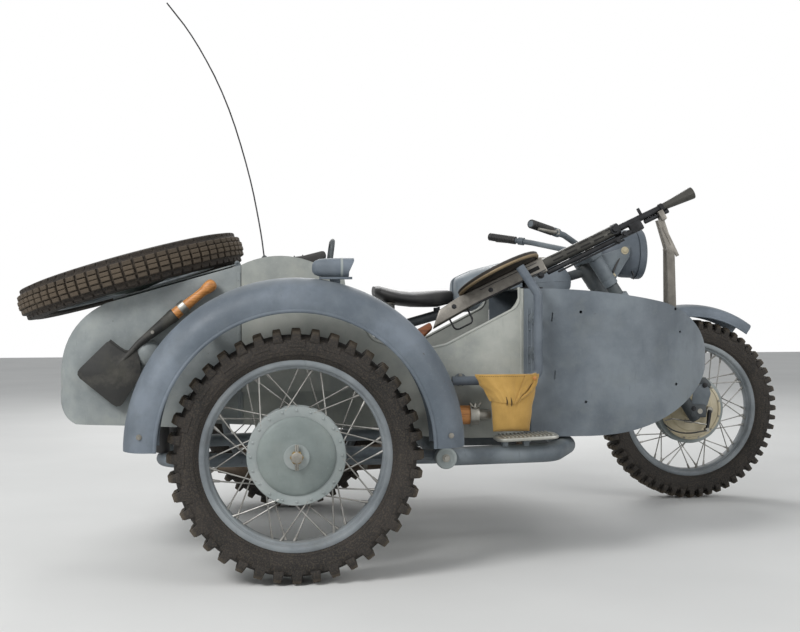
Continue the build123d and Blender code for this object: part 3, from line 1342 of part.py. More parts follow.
write("gun_body", make_gun_body())
write("gun_magazine", make_gun_magazine())
write("gun_stock", make_gun_stock())
write("gun_legs", make_gun_legs())
write("gun_mount", make_gun_mount())
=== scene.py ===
import math

import bmesh
import bpy
from mathutils import Matrix, Vector


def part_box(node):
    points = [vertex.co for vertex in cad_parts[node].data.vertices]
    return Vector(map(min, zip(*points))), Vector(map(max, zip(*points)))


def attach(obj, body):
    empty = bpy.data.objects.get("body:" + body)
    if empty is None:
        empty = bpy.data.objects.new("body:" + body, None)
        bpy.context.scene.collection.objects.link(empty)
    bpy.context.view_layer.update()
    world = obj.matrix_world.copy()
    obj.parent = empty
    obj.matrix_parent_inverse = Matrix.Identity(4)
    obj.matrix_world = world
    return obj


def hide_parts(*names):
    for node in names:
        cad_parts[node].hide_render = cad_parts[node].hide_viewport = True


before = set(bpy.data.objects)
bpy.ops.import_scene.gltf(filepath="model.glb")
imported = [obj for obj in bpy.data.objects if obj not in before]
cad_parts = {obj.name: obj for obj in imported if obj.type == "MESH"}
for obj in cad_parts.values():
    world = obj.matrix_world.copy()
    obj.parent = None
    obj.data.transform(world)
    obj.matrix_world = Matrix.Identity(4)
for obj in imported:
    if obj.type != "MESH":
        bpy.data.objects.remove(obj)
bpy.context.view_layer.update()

# Places are given in metres from the rear axle: X forward, Y to the left of the motorcycle's
# centre plane and Z up from the ground.


def middle(node):
    low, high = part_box(node)
    return (low + high) / 2


REAR_AXLE = middle("rear_tyre")
FRONT_AXLE = middle("front_tyre")
SIDECAR_AXLE = middle("sidecar_tyre")
SPARE_MIDDLE = middle("spare_tyre")
TYRE_RADIUS = REAR_AXLE.z
TRUNK_SLOPE = math.radians(16)


def at(x, y, z):
    return Vector((REAR_AXLE.x + x, REAR_AXLE.y + y, z))


# Colour and node helpers

def linear(hex_colour, alpha=1.0):
    channels = [int(hex_colour[i:i + 2], 16) / 255 for i in (1, 3, 5)]
    return tuple(c / 12.92 if c <= 0.04045 else ((c + 0.055) / 1.055) ** 2.4 for c in channels) + (alpha,)


def add(tree, kind, links=None, **settings):
    """Adds a node. Settings are its own properties or, by socket name or number, its inputs' values."""
    node = tree.nodes.new(kind)
    for key, value in settings.pop("inputs", {}).items():
        node.inputs[key].default_value = value
    for key, value in settings.items():
        setattr(node, key, value)
    for key, source in (links or {}).items():
        tree.links.new(source, node.inputs[key])
    return node


def start_material(name, roughness, metallic=0.0, **sockets):
    material = bpy.data.materials.new(name)
    material.use_nodes = True
    tree = material.node_tree
    shader = tree.nodes["Principled BSDF"]
    shader.inputs["Roughness"].default_value = roughness
    shader.inputs["Metallic"].default_value = metallic
    for socket, value in sockets.items():
        shader.inputs[socket.replace("_", " ")].default_value = value
    return material, tree, shader


def ramp(tree, factor, stops):
    """A colour ramp's output. Stops are (place, colour or grey)."""
    node = add(tree, "ShaderNodeValToRGB", {"Fac": factor})
    elements = node.color_ramp.elements
    while len(elements) < len(stops):
        elements.new(0.5)
    for element, (place, colour) in zip(elements, stops):
        element.position = place
        element.color = linear(colour) if isinstance(colour, str) else (colour, colour, colour, 1)
    return node.outputs["Color"]


def noise(tree, coordinates, size, detail=4.0, roughness=0.55):
    """Noise whose blobs are about size metres across."""
    return add(tree, "ShaderNodeTexNoise", {"Vector": coordinates},
               inputs={"Scale": 0.5 / size, "Detail": detail, "Roughness": roughness}).outputs["Fac"]


def mix_colour(tree, factor, first, second, blend="MIX"):
    node = add(tree, "ShaderNodeMix", {"Factor": factor}, data_type="RGBA", blend_type=blend)
    for number, value in ((6, first), (7, second)):
        if isinstance(value, str):
            node.inputs[number].default_value = linear(value)
        else:
            tree.links.new(value, node.inputs[number])
    return node.outputs[2]


def stained(tree, body, colour, pattern, *stops):
    """A second colour laid over the body's, as strong as the pattern's ramp says."""
    return mix_colour(tree, ramp(tree, pattern, stops), body, colour)


def bump(tree, height, distance, strength=1.0, normal=None):
    links = {"Height": height}
    if normal:
        links["Normal"] = normal
    node = add(tree, "ShaderNodeBump", links, inputs={"Distance": distance, "Strength": strength})
    return node.outputs["Normal"]


# Materials, named for the real finish; some also carry painted light or shade, marked where they are made

def brushed_on_paint(name, base, shade, light, dust, dust_amount=0.25, dent=0.0):
    """Matt vehicle enamel put on by brush and rag: cloudy tone, fine chalky specks, scuffs and small
    chips, dents where the sheet has been knocked, and dry dust lying on what faces upwards."""
    material, tree, shader = start_material(name, roughness=0.6)
    place = add(tree, "ShaderNodeTexCoord").outputs["Object"]
    geometry = add(tree, "ShaderNodeNewGeometry")
    clouds = noise(tree, place, 0.1, detail=5.0, roughness=0.6)
    scuff_map = add(tree, "ShaderNodeMapping", {"Vector": place},
                    inputs={"Rotation": (0.0, 0.5, 0.0), "Scale": (1.0, 1.0, 0.18)})
    scuffs = noise(tree, scuff_map.outputs[0], 0.006, detail=6.0, roughness=0.65)
    specks = noise(tree, place, 0.0032, detail=2.0)
    grime = noise(tree, place, 0.045, detail=7.0, roughness=0.68)
    chips = noise(tree, place, 0.011, detail=5.0, roughness=0.7)
    body = ramp(tree, clouds, [(0.38, shade), (0.5, base), (0.62, light)])
    body = stained(tree, body, dust, grime, (0.5, 0.0), (0.78, dust_amount))
    body = stained(tree, body, light, specks, (0.62, 0.0), (0.74, 0.3))
    body = stained(tree, body, shade, scuffs, (0.62, 0.0), (0.72, 0.45))
    body = stained(tree, body, "#4c4844", chips, (0.715, 0.0), (0.73, 0.8))
    height = add(tree, "ShaderNodeSeparateXYZ", {0: geometry.outputs["Normal"]}).outputs["Z"]
    body = stained(tree, body, dust, height, (0.72, 0.0), (1.0, 0.34))
    tree.links.new(body, shader.inputs["Base Color"])
    rough = ramp(tree, grime, [(0.3, 0.48), (0.7, 0.7)])
    tree.links.new(rough, shader.inputs["Roughness"])
    normal = bump(tree, specks, 0.0003, 0.5)
    normal = bump(tree, chips, 0.001, 0.4, normal)
    if dent:
        hollows = noise(tree, place, 0.1, detail=1.5)
        normal = bump(tree, hollows, dent, 0.9, normal)
    tree.links.new(normal, shader.inputs["Normal"])
    return material


def dusty_rubber(name, groove="#141312", face="#2c2825", dust="#5e5446", dust_amount=0.45,
                 tread=(0.322, 0.337)):
    """Vulcanised tyre rubber, brown-grey with dry road dust on its sidewall. It grows paler towards the
    lugs' tips, which the distance from the axle picks out, and stays near black down in the grooves: partly
    wear and dust on the tips, partly painted shade in the grooves."""
    material, tree, shader = start_material(name, roughness=0.84)
    place = add(tree, "ShaderNodeTexCoord").outputs["Object"]
    reach = add(tree, "ShaderNodeAttribute", attribute_name="reach").outputs["Fac"]
    patches = noise(tree, place, 0.05, detail=5.0)
    grit = noise(tree, place, 0.002, detail=3.0)
    body = ramp(tree, patches, [(0.3, groove), (0.62, face)])
    body = stained(tree, body, dust, grit, (0.46, 0.0), (0.74, dust_amount))
    # Paler with distance from the axle between the tread radii: wear and dust on the lugs' tips, and
    # painted shade that deepens down the lugs into the grooves.
    worn = add(tree, "ShaderNodeMapRange", {"Value": reach},
               inputs={"From Min": tread[0], "From Max": tread[1], "To Min": 0.0,
                       "To Max": 0.75}).outputs[0]
    body = mix_colour(tree, worn, body, dust)
    tree.links.new(body, shader.inputs["Base Color"])
    normal = bump(tree, grit, 0.0005, 0.6)
    tree.links.new(normal, shader.inputs["Normal"])
    return material


def worked_metal(name, base, stain, roughness=0.42, stain_amount=0.5, grain=0.004, metallic=1.0):
    """Bare or oiled steel or alloy with grime: bright where rubbed, dull and stained elsewhere."""
    material, tree, shader = start_material(name, roughness=roughness, metallic=metallic)
    place = add(tree, "ShaderNodeTexCoord").outputs["Object"]
    grime = noise(tree, place, 0.035, detail=6.0, roughness=0.65)
    fine = noise(tree, place, grain, detail=3.0)
    body = stained(tree, base, stain, grime, (0.4, 0.0), (0.7, stain_amount))
    tree.links.new(body, shader.inputs["Base Color"])
    low, high = max(roughness - 0.12, 0.05), min(roughness + 0.25, 0.95)
    rough = ramp(tree, grime, [(0.3, low), (0.7, high)])
    tree.links.new(rough, shader.inputs["Roughness"])
    tree.links.new(bump(tree, fine, 0.0004, 0.5), shader.inputs["Normal"])
    return material


def oiled_wood(name, light="#c07a3c", dark="#7b451f", along="X"):
    """Turned and oiled hardwood: long grain lines about 2 mm apart and a dull sheen."""
    material, tree, shader = start_material(name, roughness=0.48)
    place = add(tree, "ShaderNodeTexCoord").outputs["Object"]
    stretch = {"X": (0.06, 1.0, 1.0), "Z": (1.0, 1.0, 0.06)}[along]
    grain_map = add(tree, "ShaderNodeMapping", {"Vector": place}, inputs={"Scale": stretch})
    grain = noise(tree, grain_map.outputs[0], 0.0022, detail=5.0, roughness=0.6)
    broad = noise(tree, place, 0.03, detail=3.0)
    body = ramp(tree, grain, [(0.3, dark), (0.62, light)])
    body = stained(tree, body, dark, broad, (0.42, 0.0), (0.72, 0.45))
    tree.links.new(body, shader.inputs["Base Color"])
    tree.links.new(bump(tree, grain, 0.0004, 0.6), shader.inputs["Normal"])
    return material


def woven_cloth(name, base, shade, thread=0.0014, roughness=0.92):
    """Cotton canvas or seat cloth: two crossing sets of threads about 1.4 mm apart, drawn coarser
    than the real weave so that it shows, with sun-faded and grimy patches."""
    material, tree, shader = start_material(name, roughness=roughness)
    shader.inputs["Sheen Weight"].default_value = 0.25
    place = add(tree, "ShaderNodeTexCoord").outputs["Object"]
    warp = add(tree, "ShaderNodeTexWave", {"Vector": place}, bands_direction="X",
               inputs={"Scale": 0.32 / thread, "Distortion": 0.6, "Detail": 1.0})
    weft = add(tree, "ShaderNodeTexWave", {"Vector": place}, bands_direction="Z",
               inputs={"Scale": 0.32 / thread, "Distortion": 0.6, "Detail": 1.0})
    weave = add(tree, "ShaderNodeMath", {0: warp.outputs["Fac"], 1: weft.outputs["Fac"]},
                operation="MULTIPLY")
    patches = noise(tree, place, 0.06, detail=6.0)
    body = ramp(tree, patches, [(0.32, shade), (0.62, base)])
    # Painted shade: the gaps between the threads are darkened towards the shade colour.
    gaps = ramp(tree, weave.outputs[0], [(0.0, 0.35), (0.5, 0.0)])
    body = mix_colour(tree, gaps, body, shade)
    tree.links.new(body, shader.inputs["Base Color"])
    normal = bump(tree, weave.outputs[0], 0.0006, 0.6)
    folds = noise(tree, place, 0.028, detail=2.0)
    normal = bump(tree, folds, 0.004, 0.6, normal)
    tree.links.new(normal, shader.inputs["Normal"])
    return material


def moulded_rubber(name, base="#1a1a1b", worn="#3a3836"):
    """Moulded saddle and grip rubber: satin black that greys where hands and clothes rub it."""
    material, tree, shader = start_material(name, roughness=0.55)
    place = add(tree, "ShaderNodeTexCoord").outputs["Object"]
    rubbed = noise(tree, place, 0.05, detail=4.0)
    pebble = add(tree, "ShaderNodeTexVoronoi", {"Vector": place}, inputs={"Scale": 1 / 0.0022})
    body = ramp(tree, rubbed, [(0.4, base), (0.75, worn)])
    tree.links.new(body, shader.inputs["Base Color"])
    tree.links.new(bump(tree, pebble.outputs["Distance"], 0.0004, 0.35), shader.inputs["Normal"])
    return material


def lamp_glass(name):
    """Pressed soda glass over the lamp's bright inside, drawn without transmission: its pale grey is a
    painted reflection of that bright inside.
    """
    material, tree, shader = start_material(name, roughness=0.12, IOR=1.52)
    # Painted reflection: the pale grey stands for the lamp's bright inside seen through the glass.
    shader.inputs["Base Color"].default_value = linear("#c9cdca")
    shader.inputs["Coat Weight"].default_value = 0.6
    return material


SHEET_PAINT = brushed_on_paint("sheet_enamel", "#6f7880", "#646c73", "#7c858b", "#8a8d88", dent=0.006)
LAMP_PAINT = brushed_on_paint("lamp_enamel", "#586069", "#4b535b", "#656d75", "#6d7277", 0.18, dent=0.002)
# Painted light: the sidecar's shell is one enamel drawn in three tones. The nose's is darker, as the body
# looks in shade (painted shade). The tub's is paler, as it looks in sunlight (painted sunlight). The
# trunk's lies between the two (partly painted sunlight).
SHADED_NOSE_PAINT = brushed_on_paint("nose_enamel_painted_shade", "#646c73", "#575f66", "#727a80", "#858985", 0.3, dent=0.01)
SUNLIT_TUB_PAINT = brushed_on_paint("tub_enamel_painted_sunlight", "#a0a39d", "#8f938f", "#b0b2ab", "#bab8a9", 0.35, dent=0.008)
GUARD_PAINT = brushed_on_paint("mudguard_enamel", "#5f6871", "#525b64", "#6f7882", "#858886", 0.18,
                               dent=0.004)
# Painted light: the trunk's tone lies between the shaded nose's and the sunlit tub's.
HALF_SUNLIT_TRUNK_PAINT = brushed_on_paint("trunk_enamel_part_painted_sunlight", "#858b8b", "#747a7b", "#969b99", "#a3a399", 0.3, dent=0.01)
TUBE_PAINT = brushed_on_paint("tube_enamel", "#626a70", "#4f575d", "#737b80", "#85857d", 0.25)
DARK_PAINT = brushed_on_paint("frame_enamel", "#3f4447", "#303538", "#4f5557", "#6a675e", 0.35)
RIM_PAINT = brushed_on_paint("rim_enamel", "#767c80", "#63696d", "#868c8f", "#8d8b84", 0.3)
HUB_PAINT = brushed_on_paint("hub_enamel", "#8a9291", "#7d8483", "#989e9d", "#a3a39b", 0.25)
CREAM_PAINT = brushed_on_paint("brake_plate_enamel", "#b9ae92", "#a3987c", "#c9bfa6", "#7d7465", 0.55)
TYRE_RUBBER = dusty_rubber("tyre_rubber")
SPARE_RUBBER = dusty_rubber("spare_tyre_rubber", "#151210", "#272019", "#5c5041", 0.34,
                            tread=(0.326, 0.3395))
NUT_STEEL = worked_metal("tarnished_nut", "#9a8458", "#4f4128", 0.42, 0.7, metallic=0.9)
SPOKE_STEEL = worked_metal("spoke_steel", "#9c9b97", "#5f5c56", 0.46, 0.6)
BARE_STEEL = worked_metal("plain_steel", "#9a9891", "#5f5a50", 0.45, 0.6)
BLUED_BRIGHT = worked_metal("worn_blued_steel", "#54534f", "#282725", 0.3, 0.6, metallic=0.9)
DARK_STEEL = worked_metal("blued_steel", "#3a3b3d", "#1d1c1b", 0.38, 0.7, metallic=0.85)
RECEIVER_STEEL = worked_metal("worn_receiver_steel", "#85817a", "#54514c", 0.46, 0.7, metallic=0.7)
CAST_ALLOY = worked_metal("cast_alloy", "#8f908c", "#55534d", 0.55, 0.65, grain=0.0018)
PIPE_STEEL = worked_metal("exhaust_steel", "#6d6257", "#3b2f26", 0.5, 0.8)
SHOVEL_STEEL = brushed_on_paint("shovel_black", "#262624", "#191917", "#37362f", "#77736a", 0.5)
SADDLE_RUBBER = moulded_rubber("saddle_rubber")
SEAT_CLOTH = woven_cloth("seat_cloth", "#3a3b37", "#292a27", thread=0.002)
KHAKI_CANVAS = woven_cloth("khaki_canvas", "#cda45a", "#a98441")
HANDLE_WOOD = oiled_wood("oiled_handle_wood", "#d08f4f", "#95602f")
STOCK_WOOD = oiled_wood("stock_wood", "#8a4f26", "#55301a")
PAN_TAN = worked_metal("pan_rim_steel", "#8d7c61", "#5e5142", 0.5, 0.5, metallic=0.5)
PAN_DARK = worked_metal("pan_blued_steel", "#37322d", "#1f1c19", 0.5, 0.6, metallic=0.6)
HOLE_BLACK = dusty_rubber("hole_shadow", "#080808", "#101010", "#1a1917", 0.3)
COVER_PAINT = brushed_on_paint("hub_cover_enamel", "#747d7b", "#697270", "#818a87", "#8f9088", 0.25)
STEP_ALLOY = worked_metal("scuffed_step_alloy", "#a9a9a2", "#77766d", 0.5, 0.5, grain=0.0016, metallic=0.8)
GLASS_WITH_PAINTED_REFLECTION = lamp_glass("lamp_glass_painted_reflection")


# Mesh helpers

def linked(name, mesh):
    """A new object in the scene, at the origin, with this mesh."""
    holder = bpy.data.objects.new(name, mesh)
    bpy.context.scene.collection.objects.link(holder)
    return holder


def finished_mesh(holder):
    """The object's mesh with its modifiers applied, as a plain new mesh. The object goes."""
    bpy.context.view_layer.update()
    result = bpy.data.meshes.new_from_object(holder.evaluated_get(bpy.context.evaluated_depsgraph_get()))
    bpy.data.objects.remove(holder)
    return result


def mesh_from(bm, name="part", recalc=True):
    if recalc:
        bmesh.ops.recalc_face_normals(bm, faces=bm.faces)
    mesh = bpy.data.meshes.new(name)
    bm.to_mesh(mesh)
    bm.free()
    return mesh


def grid_faces(bm, rows, closed_rows=False, closed_columns=False):
    """Faces between rows of vertices."""
    height = len(rows) if closed_rows else len(rows) - 1
    width = len(rows[0]) if closed_columns else len(rows[0]) - 1
    for i in range(height):
        upper, lower = rows[i], rows[(i + 1) % len(rows)]
        for j in range(width):
            k = (j + 1) % len(upper)
            corners = [upper[j], upper[k], lower[k], lower[j]]
            unique = list(dict.fromkeys(corners))
            if len(unique) > 2:
                bm.faces.new(unique)


def lathe(bm, profile, steps=96, start=0.0, turn=360.0, matrix=Matrix.Identity(4), closed=True):
    """Turns (along Y, radius) points about the Y axis, angles rising from +X towards +Z."""
    full = abs(turn) >= 360
    count = steps if full else steps + 1
    columns = []
    for y, radius in profile:
        if radius < 1e-6:
            pole = bm.verts.new(matrix @ Vector((0, y, 0)))
            columns.append([pole] * count)
            continue
        ring = []
        for i in range(count):
            angle = math.radians(start + turn * i / steps)
            ring.append(bm.verts.new(matrix @ Vector((radius * math.cos(angle), y,
                                                      radius * math.sin(angle)))))
        columns.append(ring)
    grid_faces(bm, columns, closed_rows=closed, closed_columns=full)
    if not full and closed:
        for end in (0, -1):
            bm.faces.new([column[end] for column in columns])


def tube(bm, points, radius, sides=12, smooth=0):
    """A round tube along points, its corners rounded by smooth passes of corner cutting."""
    points = [Vector(p) for p in points]
    sizes = list(radius) if isinstance(radius, (list, tuple)) else [radius] * len(points)
    for _ in range(smooth):
        line, girth = [points[0]], [sizes[0]]
        for a, b, c, d in zip(points, points[1:], sizes, sizes[1:]):
            line += [a.lerp(b, 0.25), a.lerp(b, 0.75)]
            girth += [c * 0.75 + d * 0.25, c * 0.25 + d * 0.75]
        points, sizes = line + [points[-1]], girth + [sizes[-1]]
    rings = []
    normal = None
    for i, point in enumerate(points):
        before, after = points[max(i - 1, 0)], points[min(i + 1, len(points) - 1)]
        along = (after - before).normalized()
        if normal is None:
            normal = along.orthogonal().normalized()
        normal = (normal - along * normal.dot(along)).normalized()
        side = along.cross(normal)
        rings.append([bm.verts.new(point + (normal * math.cos(a) + side * math.sin(a)) * sizes[i])
                      for a in (2 * math.pi * k / sides for k in range(sides))])
    grid_faces(bm, rings, closed_columns=True)
    bm.faces.new(list(reversed(rings[0])))
    bm.faces.new(rings[-1])


def slab(bm, low, high, matrix=Matrix.Identity(4), bevel=0.0, segments=2):
    """A box between two corners, its edges rounded."""
    centre, size = (Vector(low) + Vector(high)) / 2, Vector(high) - Vector(low)
    made = bmesh.ops.create_cube(bm, size=1.0, matrix=matrix @ Matrix.Translation(centre)
                                 @ Matrix.Diagonal(size.to_4d()))
    if bevel:
        edges = list({edge for vert in made["verts"] for edge in vert.link_edges})
        bmesh.ops.bevel(bm, geom=edges, offset=bevel, segments=segments, affect="EDGES", profile=0.5)


def prism_mesh(outline, low, high, axis="Y"):
    """An outline of (u, v) points carried from low to high along Y or Z."""
    bm = bmesh.new()

    def ring(w):
        return [bm.verts.new((u, w, v) if axis == "Y" else (u, v, w)) for u, v in outline]

    near, far = ring(low), ring(high)
    bm.faces.new(near)
    bm.faces.new(list(reversed(far)))
    grid_faces(bm, [near, far], closed_columns=True)
    return mesh_from(bm)


def arc_points(start, middle_point, end, count):
    """Points on the circle through three (u, v) points."""
    (ax, ay), (bx, by), (cx, cy) = start, middle_point, end
    d = 2 * (ax * (by - cy) + bx * (cy - ay) + cx * (ay - by))
    ux = ((ax**2 + ay**2) * (by - cy) + (bx**2 + by**2) * (cy - ay) + (cx**2 + cy**2) * (ay - by)) / d
    uy = ((ax**2 + ay**2) * (cx - bx) + (bx**2 + by**2) * (ax - cx) + (cx**2 + cy**2) * (bx - ax)) / d
    radius = math.hypot(ax - ux, ay - uy)
    first, mid, last = (math.atan2(y - uy, x - ux) for x, y in (start, middle_point, end))
    sweep = (last - first) % (2 * math.pi)
    if (mid - first) % (2 * math.pi) > sweep:
        sweep -= 2 * math.pi
    angles = [first + sweep * i / count for i in range(count + 1)]
    return [(ux + radius * math.cos(angle), uy + radius * math.sin(angle)) for angle in angles]


def copy_of(node):
    """A CAD node's shape as a clean mesh of its own."""
    bm = bmesh.new()
    bm.from_mesh(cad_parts[node].data)
    bmesh.ops.remove_doubles(bm, verts=bm.verts, dist=1e-5)
    bmesh.ops.dissolve_limit(bm, angle_limit=math.radians(1.0), verts=bm.verts, edges=bm.edges)
    return bm


def soften(mesh, width, segments=2, angle=35):
    """The mesh with its sharp edges rounded."""
    holder = linked("softening", mesh)
    modifier = holder.modifiers.new("round", "BEVEL")
    modifier.width = width
    modifier.segments = segments
    modifier.limit_method = "ANGLE"
    modifier.angle_limit = math.radians(angle)
    modifier.use_clamp_overlap = True
    return finished_mesh(holder)


def cut(first, second, operation="DIFFERENCE"):
    """One mesh cut, joined or crossed with another."""
    holder, tool = linked("cutting", first), linked("cutter", second)
    modifier = holder.modifiers.new("cut", "BOOLEAN")
    modifier.object = tool
    modifier.operation = operation
    modifier.solver = "EXACT"
    result = finished_mesh(holder)
    bpy.data.objects.remove(tool)
    return result


# Geometry Nodes: copies of a shape set out in a row, in a ring or both

def build_repeat_tree():
    tree = bpy.data.node_groups.new("repeat_shape", "GeometryNodeTree")
    for label, kind in (("Shape", "Geometry"), ("Count", "Int"), ("Step", "Vector"), ("Axis", "Vector"),
                        ("Turn", "Float"), ("Finish", "Material")):
        tree.interface.new_socket(label, in_out="INPUT", socket_type="NodeSocket" + kind)
    tree.interface.new_socket("Copies", in_out="OUTPUT", socket_type="NodeSocketGeometry")
    inputs = add(tree, "NodeGroupInput").outputs
    line = add(tree, "GeometryNodeMeshLine", {"Count": inputs["Count"], "Offset": inputs["Step"]})
    index = add(tree, "GeometryNodeInputIndex")
    angle = add(tree, "ShaderNodeMath", {0: index.outputs[0], 1: inputs["Turn"]}, operation="MULTIPLY")
    rotation = add(tree, "FunctionNodeAxisAngleToRotation",
                   {"Axis": inputs["Axis"], "Angle": angle.outputs[0]})
    copies = add(tree, "GeometryNodeInstanceOnPoints", {
        "Points": line.outputs[0], "Instance": inputs["Shape"], "Rotation": rotation.outputs[0]})
    real = add(tree, "GeometryNodeRealizeInstances", {0: copies.outputs[0]})
    finish = add(tree, "GeometryNodeSetMaterial", {0: real.outputs[0], "Material": inputs["Finish"]})
    add(tree, "NodeGroupOutput", {0: finish.outputs[0]})
    return tree


REPEAT_TREE = build_repeat_tree()


def repeated(shape, count, material, step=(0, 0, 0), axis=(0, 1, 0), turn=0.0):
    """Count copies of a bmesh shape, each a step and a turn (degrees) on from the last."""
    holder = linked("repeating", mesh_from(shape))
    modifier = holder.modifiers.new("repeat", "NODES")
    modifier.node_group = REPEAT_TREE
    values = {"Count": count, "Step": step, "Axis": axis, "Turn": math.radians(turn), "Finish": material}
    for item in REPEAT_TREE.interface.items_tree:
        if item.in_out == "INPUT" and item.name in values:
            modifier[item.identifier] = values[item.name]
    return finished_mesh(holder)


def make(name, body, node, meshes, sharp=32, matrix=Matrix.Identity(4)):
    """One piece from (mesh, material) pairs, put in place by a matrix, that stands for a CAD node."""
    bm = bmesh.new()
    materials = list(dict.fromkeys(material for mesh, material in meshes))
    for mesh, material in meshes:
        first = len(bm.faces)
        bm.from_mesh(mesh)
        bm.faces.ensure_lookup_table()
        for face in bm.faces[first:]:
            face.material_index = materials.index(material)
    reach = bm.verts.layers.float.new("reach")
    for vert in bm.verts:
        vert[reach] = math.hypot(vert.co.x, vert.co.z)
    bm.transform(matrix)
    mesh = mesh_from(bm, name, recalc=False)
    for material in materials:
        mesh.materials.append(material)
    mesh.shade_smooth()
    mesh.set_sharp_from_angle(angle=math.radians(sharp))
    piece = linked(name, mesh)
    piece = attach(piece, body) or piece
    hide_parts(node)
    return piece


# Helpers for single pieces

def ring_mesh(profile, steps=96, **settings):
    """Turns (y, radius) points about the Y axis: a whole ring, or an arc with its ends closed."""
    bm = bmesh.new()
    lathe(bm, profile, steps, **settings)
    return mesh_from(bm)


def tube_mesh(points, radius, sides=20, smooth=0):
    bm = bmesh.new()
    tube(bm, points, radius, sides, smooth)
    return mesh_from(bm)


def slab_mesh(low, high, bevel=0.0, matrix=Matrix.Identity(4), segments=2):
    bm = bmesh.new()
    slab(bm, low, high, matrix, bevel, segments)
    return mesh_from(bm)


def drum(radius, length):
    """The profile of a plain closed cylinder."""
    return [(0.0, 0.0), (0.0, radius), (length, radius), (length, 0.0)]


def bend_points(points, radii):
    """Points of a tube's centre line with its corners turned on given radii."""
    points = [Vector(p) for p in points]
    line = [points[0]]
    for index in range(1, len(points) - 1):
        radius = radii[index - 1] if isinstance(radii, (list, tuple)) else radii
        corner, before, after = points[index], points[index - 1], points[index + 1]
        a, b = (before - corner).normalized(), (after - corner).normalized()
        half = a.angle(b) / 2
        reach = min(radius / math.tan(half), (before - corner).length * 0.49,
                    (after - corner).length * 0.49)
        start, end = corner + a * reach, corner + b * reach
        for step in range(9):
            t = step / 8
            line.append(start * (1 - t)**2 + corner * 2 * t * (1 - t) + end * t**2)
    return line + [points[-1]]


def lathe_mesh(profile, place, along=(0, 0, 1), steps=48, closed=False):
    """Turns (height, radius) points about an axis that starts at place and runs along a direction."""
    turn = Vector((0, 1, 0)).rotation_difference(Vector(along)).to_matrix().to_4x4()
    return ring_mesh(profile, steps, matrix=Matrix.Translation(place) @ turn, closed=closed)


def loft_mesh(sections):
    """Faces between closed sections with equal numbers of points."""
    bm = bmesh.new()
    rings = [[bm.verts.new(p) for p in section] for section in sections]
    grid_faces(bm, rings, closed_columns=True)
    bm.faces.new(list(reversed(rings[0])))
    bm.faces.new(rings[-1])
    return mesh_from(bm)


def oval(x, half_width, bottom, top, power=2.6, count=28):
    """A rounded section across the motorcycle, squarer as the power rises."""
    centre, half_height = (bottom + top) / 2, (top - bottom) / 2
    points = []
    for k in range(count):
        angle = 2 * math.pi * k / count
        c, s = math.cos(angle), math.sin(angle)
        points.append(at(x, half_width * math.copysign(abs(c) ** (2 / power), c),
                         centre + half_height * math.copysign(abs(s) ** (2 / power), s)))
    return points


def soft_copy(node, width=0.0015, segments=2, angle=35):
    return soften(mesh_from(copy_of(node), recalc=False), width, segments, angle)


# Wire wheels, drawn about the Y axis with the cover towards -Y

RIM_WELL, HUB_FLANGE = 0.231, 0.132
SPOKES_PER_FLANGE = 20


def rim_mesh():
    half = [(0.0, RIM_WELL), (0.014, RIM_WELL), (0.0175, 0.233), (0.019, 0.2372), (0.0215, 0.2388),
            (0.0245, 0.2382), (0.0262, 0.2392), (0.0275, 0.2412), (0.03, 0.24), (0.033, 0.2408),
            (0.0352, 0.2435), (0.036, 0.2475), (0.036, 0.252), (0.0351, 0.2552), (0.0335, 0.2564),
            (0.0325, 0.255), (0.0325, 0.244)]
    inside = [(0.032, 0.2432), (0.015, 0.2425), (0.0, 0.2425)]
    outer, inner = ([(-y, r) for y, r in reversed(points)] for points in (half, inside))
    return ring_mesh(outer + half[1:] + inside[:-1] + inner, 128)


def hub_parts():
    """The brake drum with its spoke flanges, and the domed cover on it."""
    bore = 0.0104
    cover = [(-0.0262, bore), (-0.0465, bore), (-0.0465, 0.022), (-0.0455, 0.034), (-0.044, 0.0365),
             (-0.043, 0.038), (-0.041, 0.052), (-0.0385, 0.07), (-0.0355, 0.086), (-0.0325, 0.0965),
             (-0.03, 0.1025), (-0.0275, 0.1048), (-0.0262, 0.105)]
    hub = [(-0.0255, bore), (-0.0255, 0.105), (-0.0262, 0.1065), (-0.0262, 0.13), (-0.024, HUB_FLANGE),
           (-0.02, HUB_FLANGE), (-0.019, 0.13), (-0.019, 0.112), (0.019, 0.112), (0.019, 0.13),
           (0.02, HUB_FLANGE), (0.024, HUB_FLANGE), (0.0262, 0.13), (0.0262, 0.108), (0.03, 0.104),
           (0.03, bore)]
    return [(ring_mesh(cover), COVER_PAINT), (ring_mesh(hub), HUB_PAINT)]


def spoke_set(side, sense):
    """One spoke with its head and nipple, to be repeated round the wheel."""
    offset = sense * 0.003
    pitch = 2 * math.pi / SPOKES_PER_FLANGE
    hub_angle = pitch * side / 4 + (pitch if sense > 0 else 0)
    rim_angle = hub_angle + sense * math.radians(24)
    head = Vector((0.124 * math.cos(hub_angle), side * 0.022 + offset, 0.124 * math.sin(hub_angle)))
    tip = Vector((RIM_WELL * math.cos(rim_angle), side * 0.006 + offset, RIM_WELL * math.sin(rim_angle)))
    along = (head - tip).normalized()
    bm = bmesh.new()
    tube(bm, [head, tip], 0.0021, sides=8)
    tube(bm, [tip - along * 0.001, tip + along * 0.006, tip + along * 0.019], [0.0046, 0.004, 0.003],
         sides=8)
    return bm


def flange_rivet():
    """The round head of a spoke, as it shows on the flange's outer face."""
    bm = bmesh.new()
    centre = Matrix.Translation((0.1215, -0.0262, 0)) @ Matrix.Rotation(math.radians(180), 4, "Z")
    lathe(bm, [(0.0, 0.0042), (0.0014, 0.0038), (0.0026, 0.0022), (0.003, 0.0)], steps=10, matrix=centre,
          closed=False)
    return bm


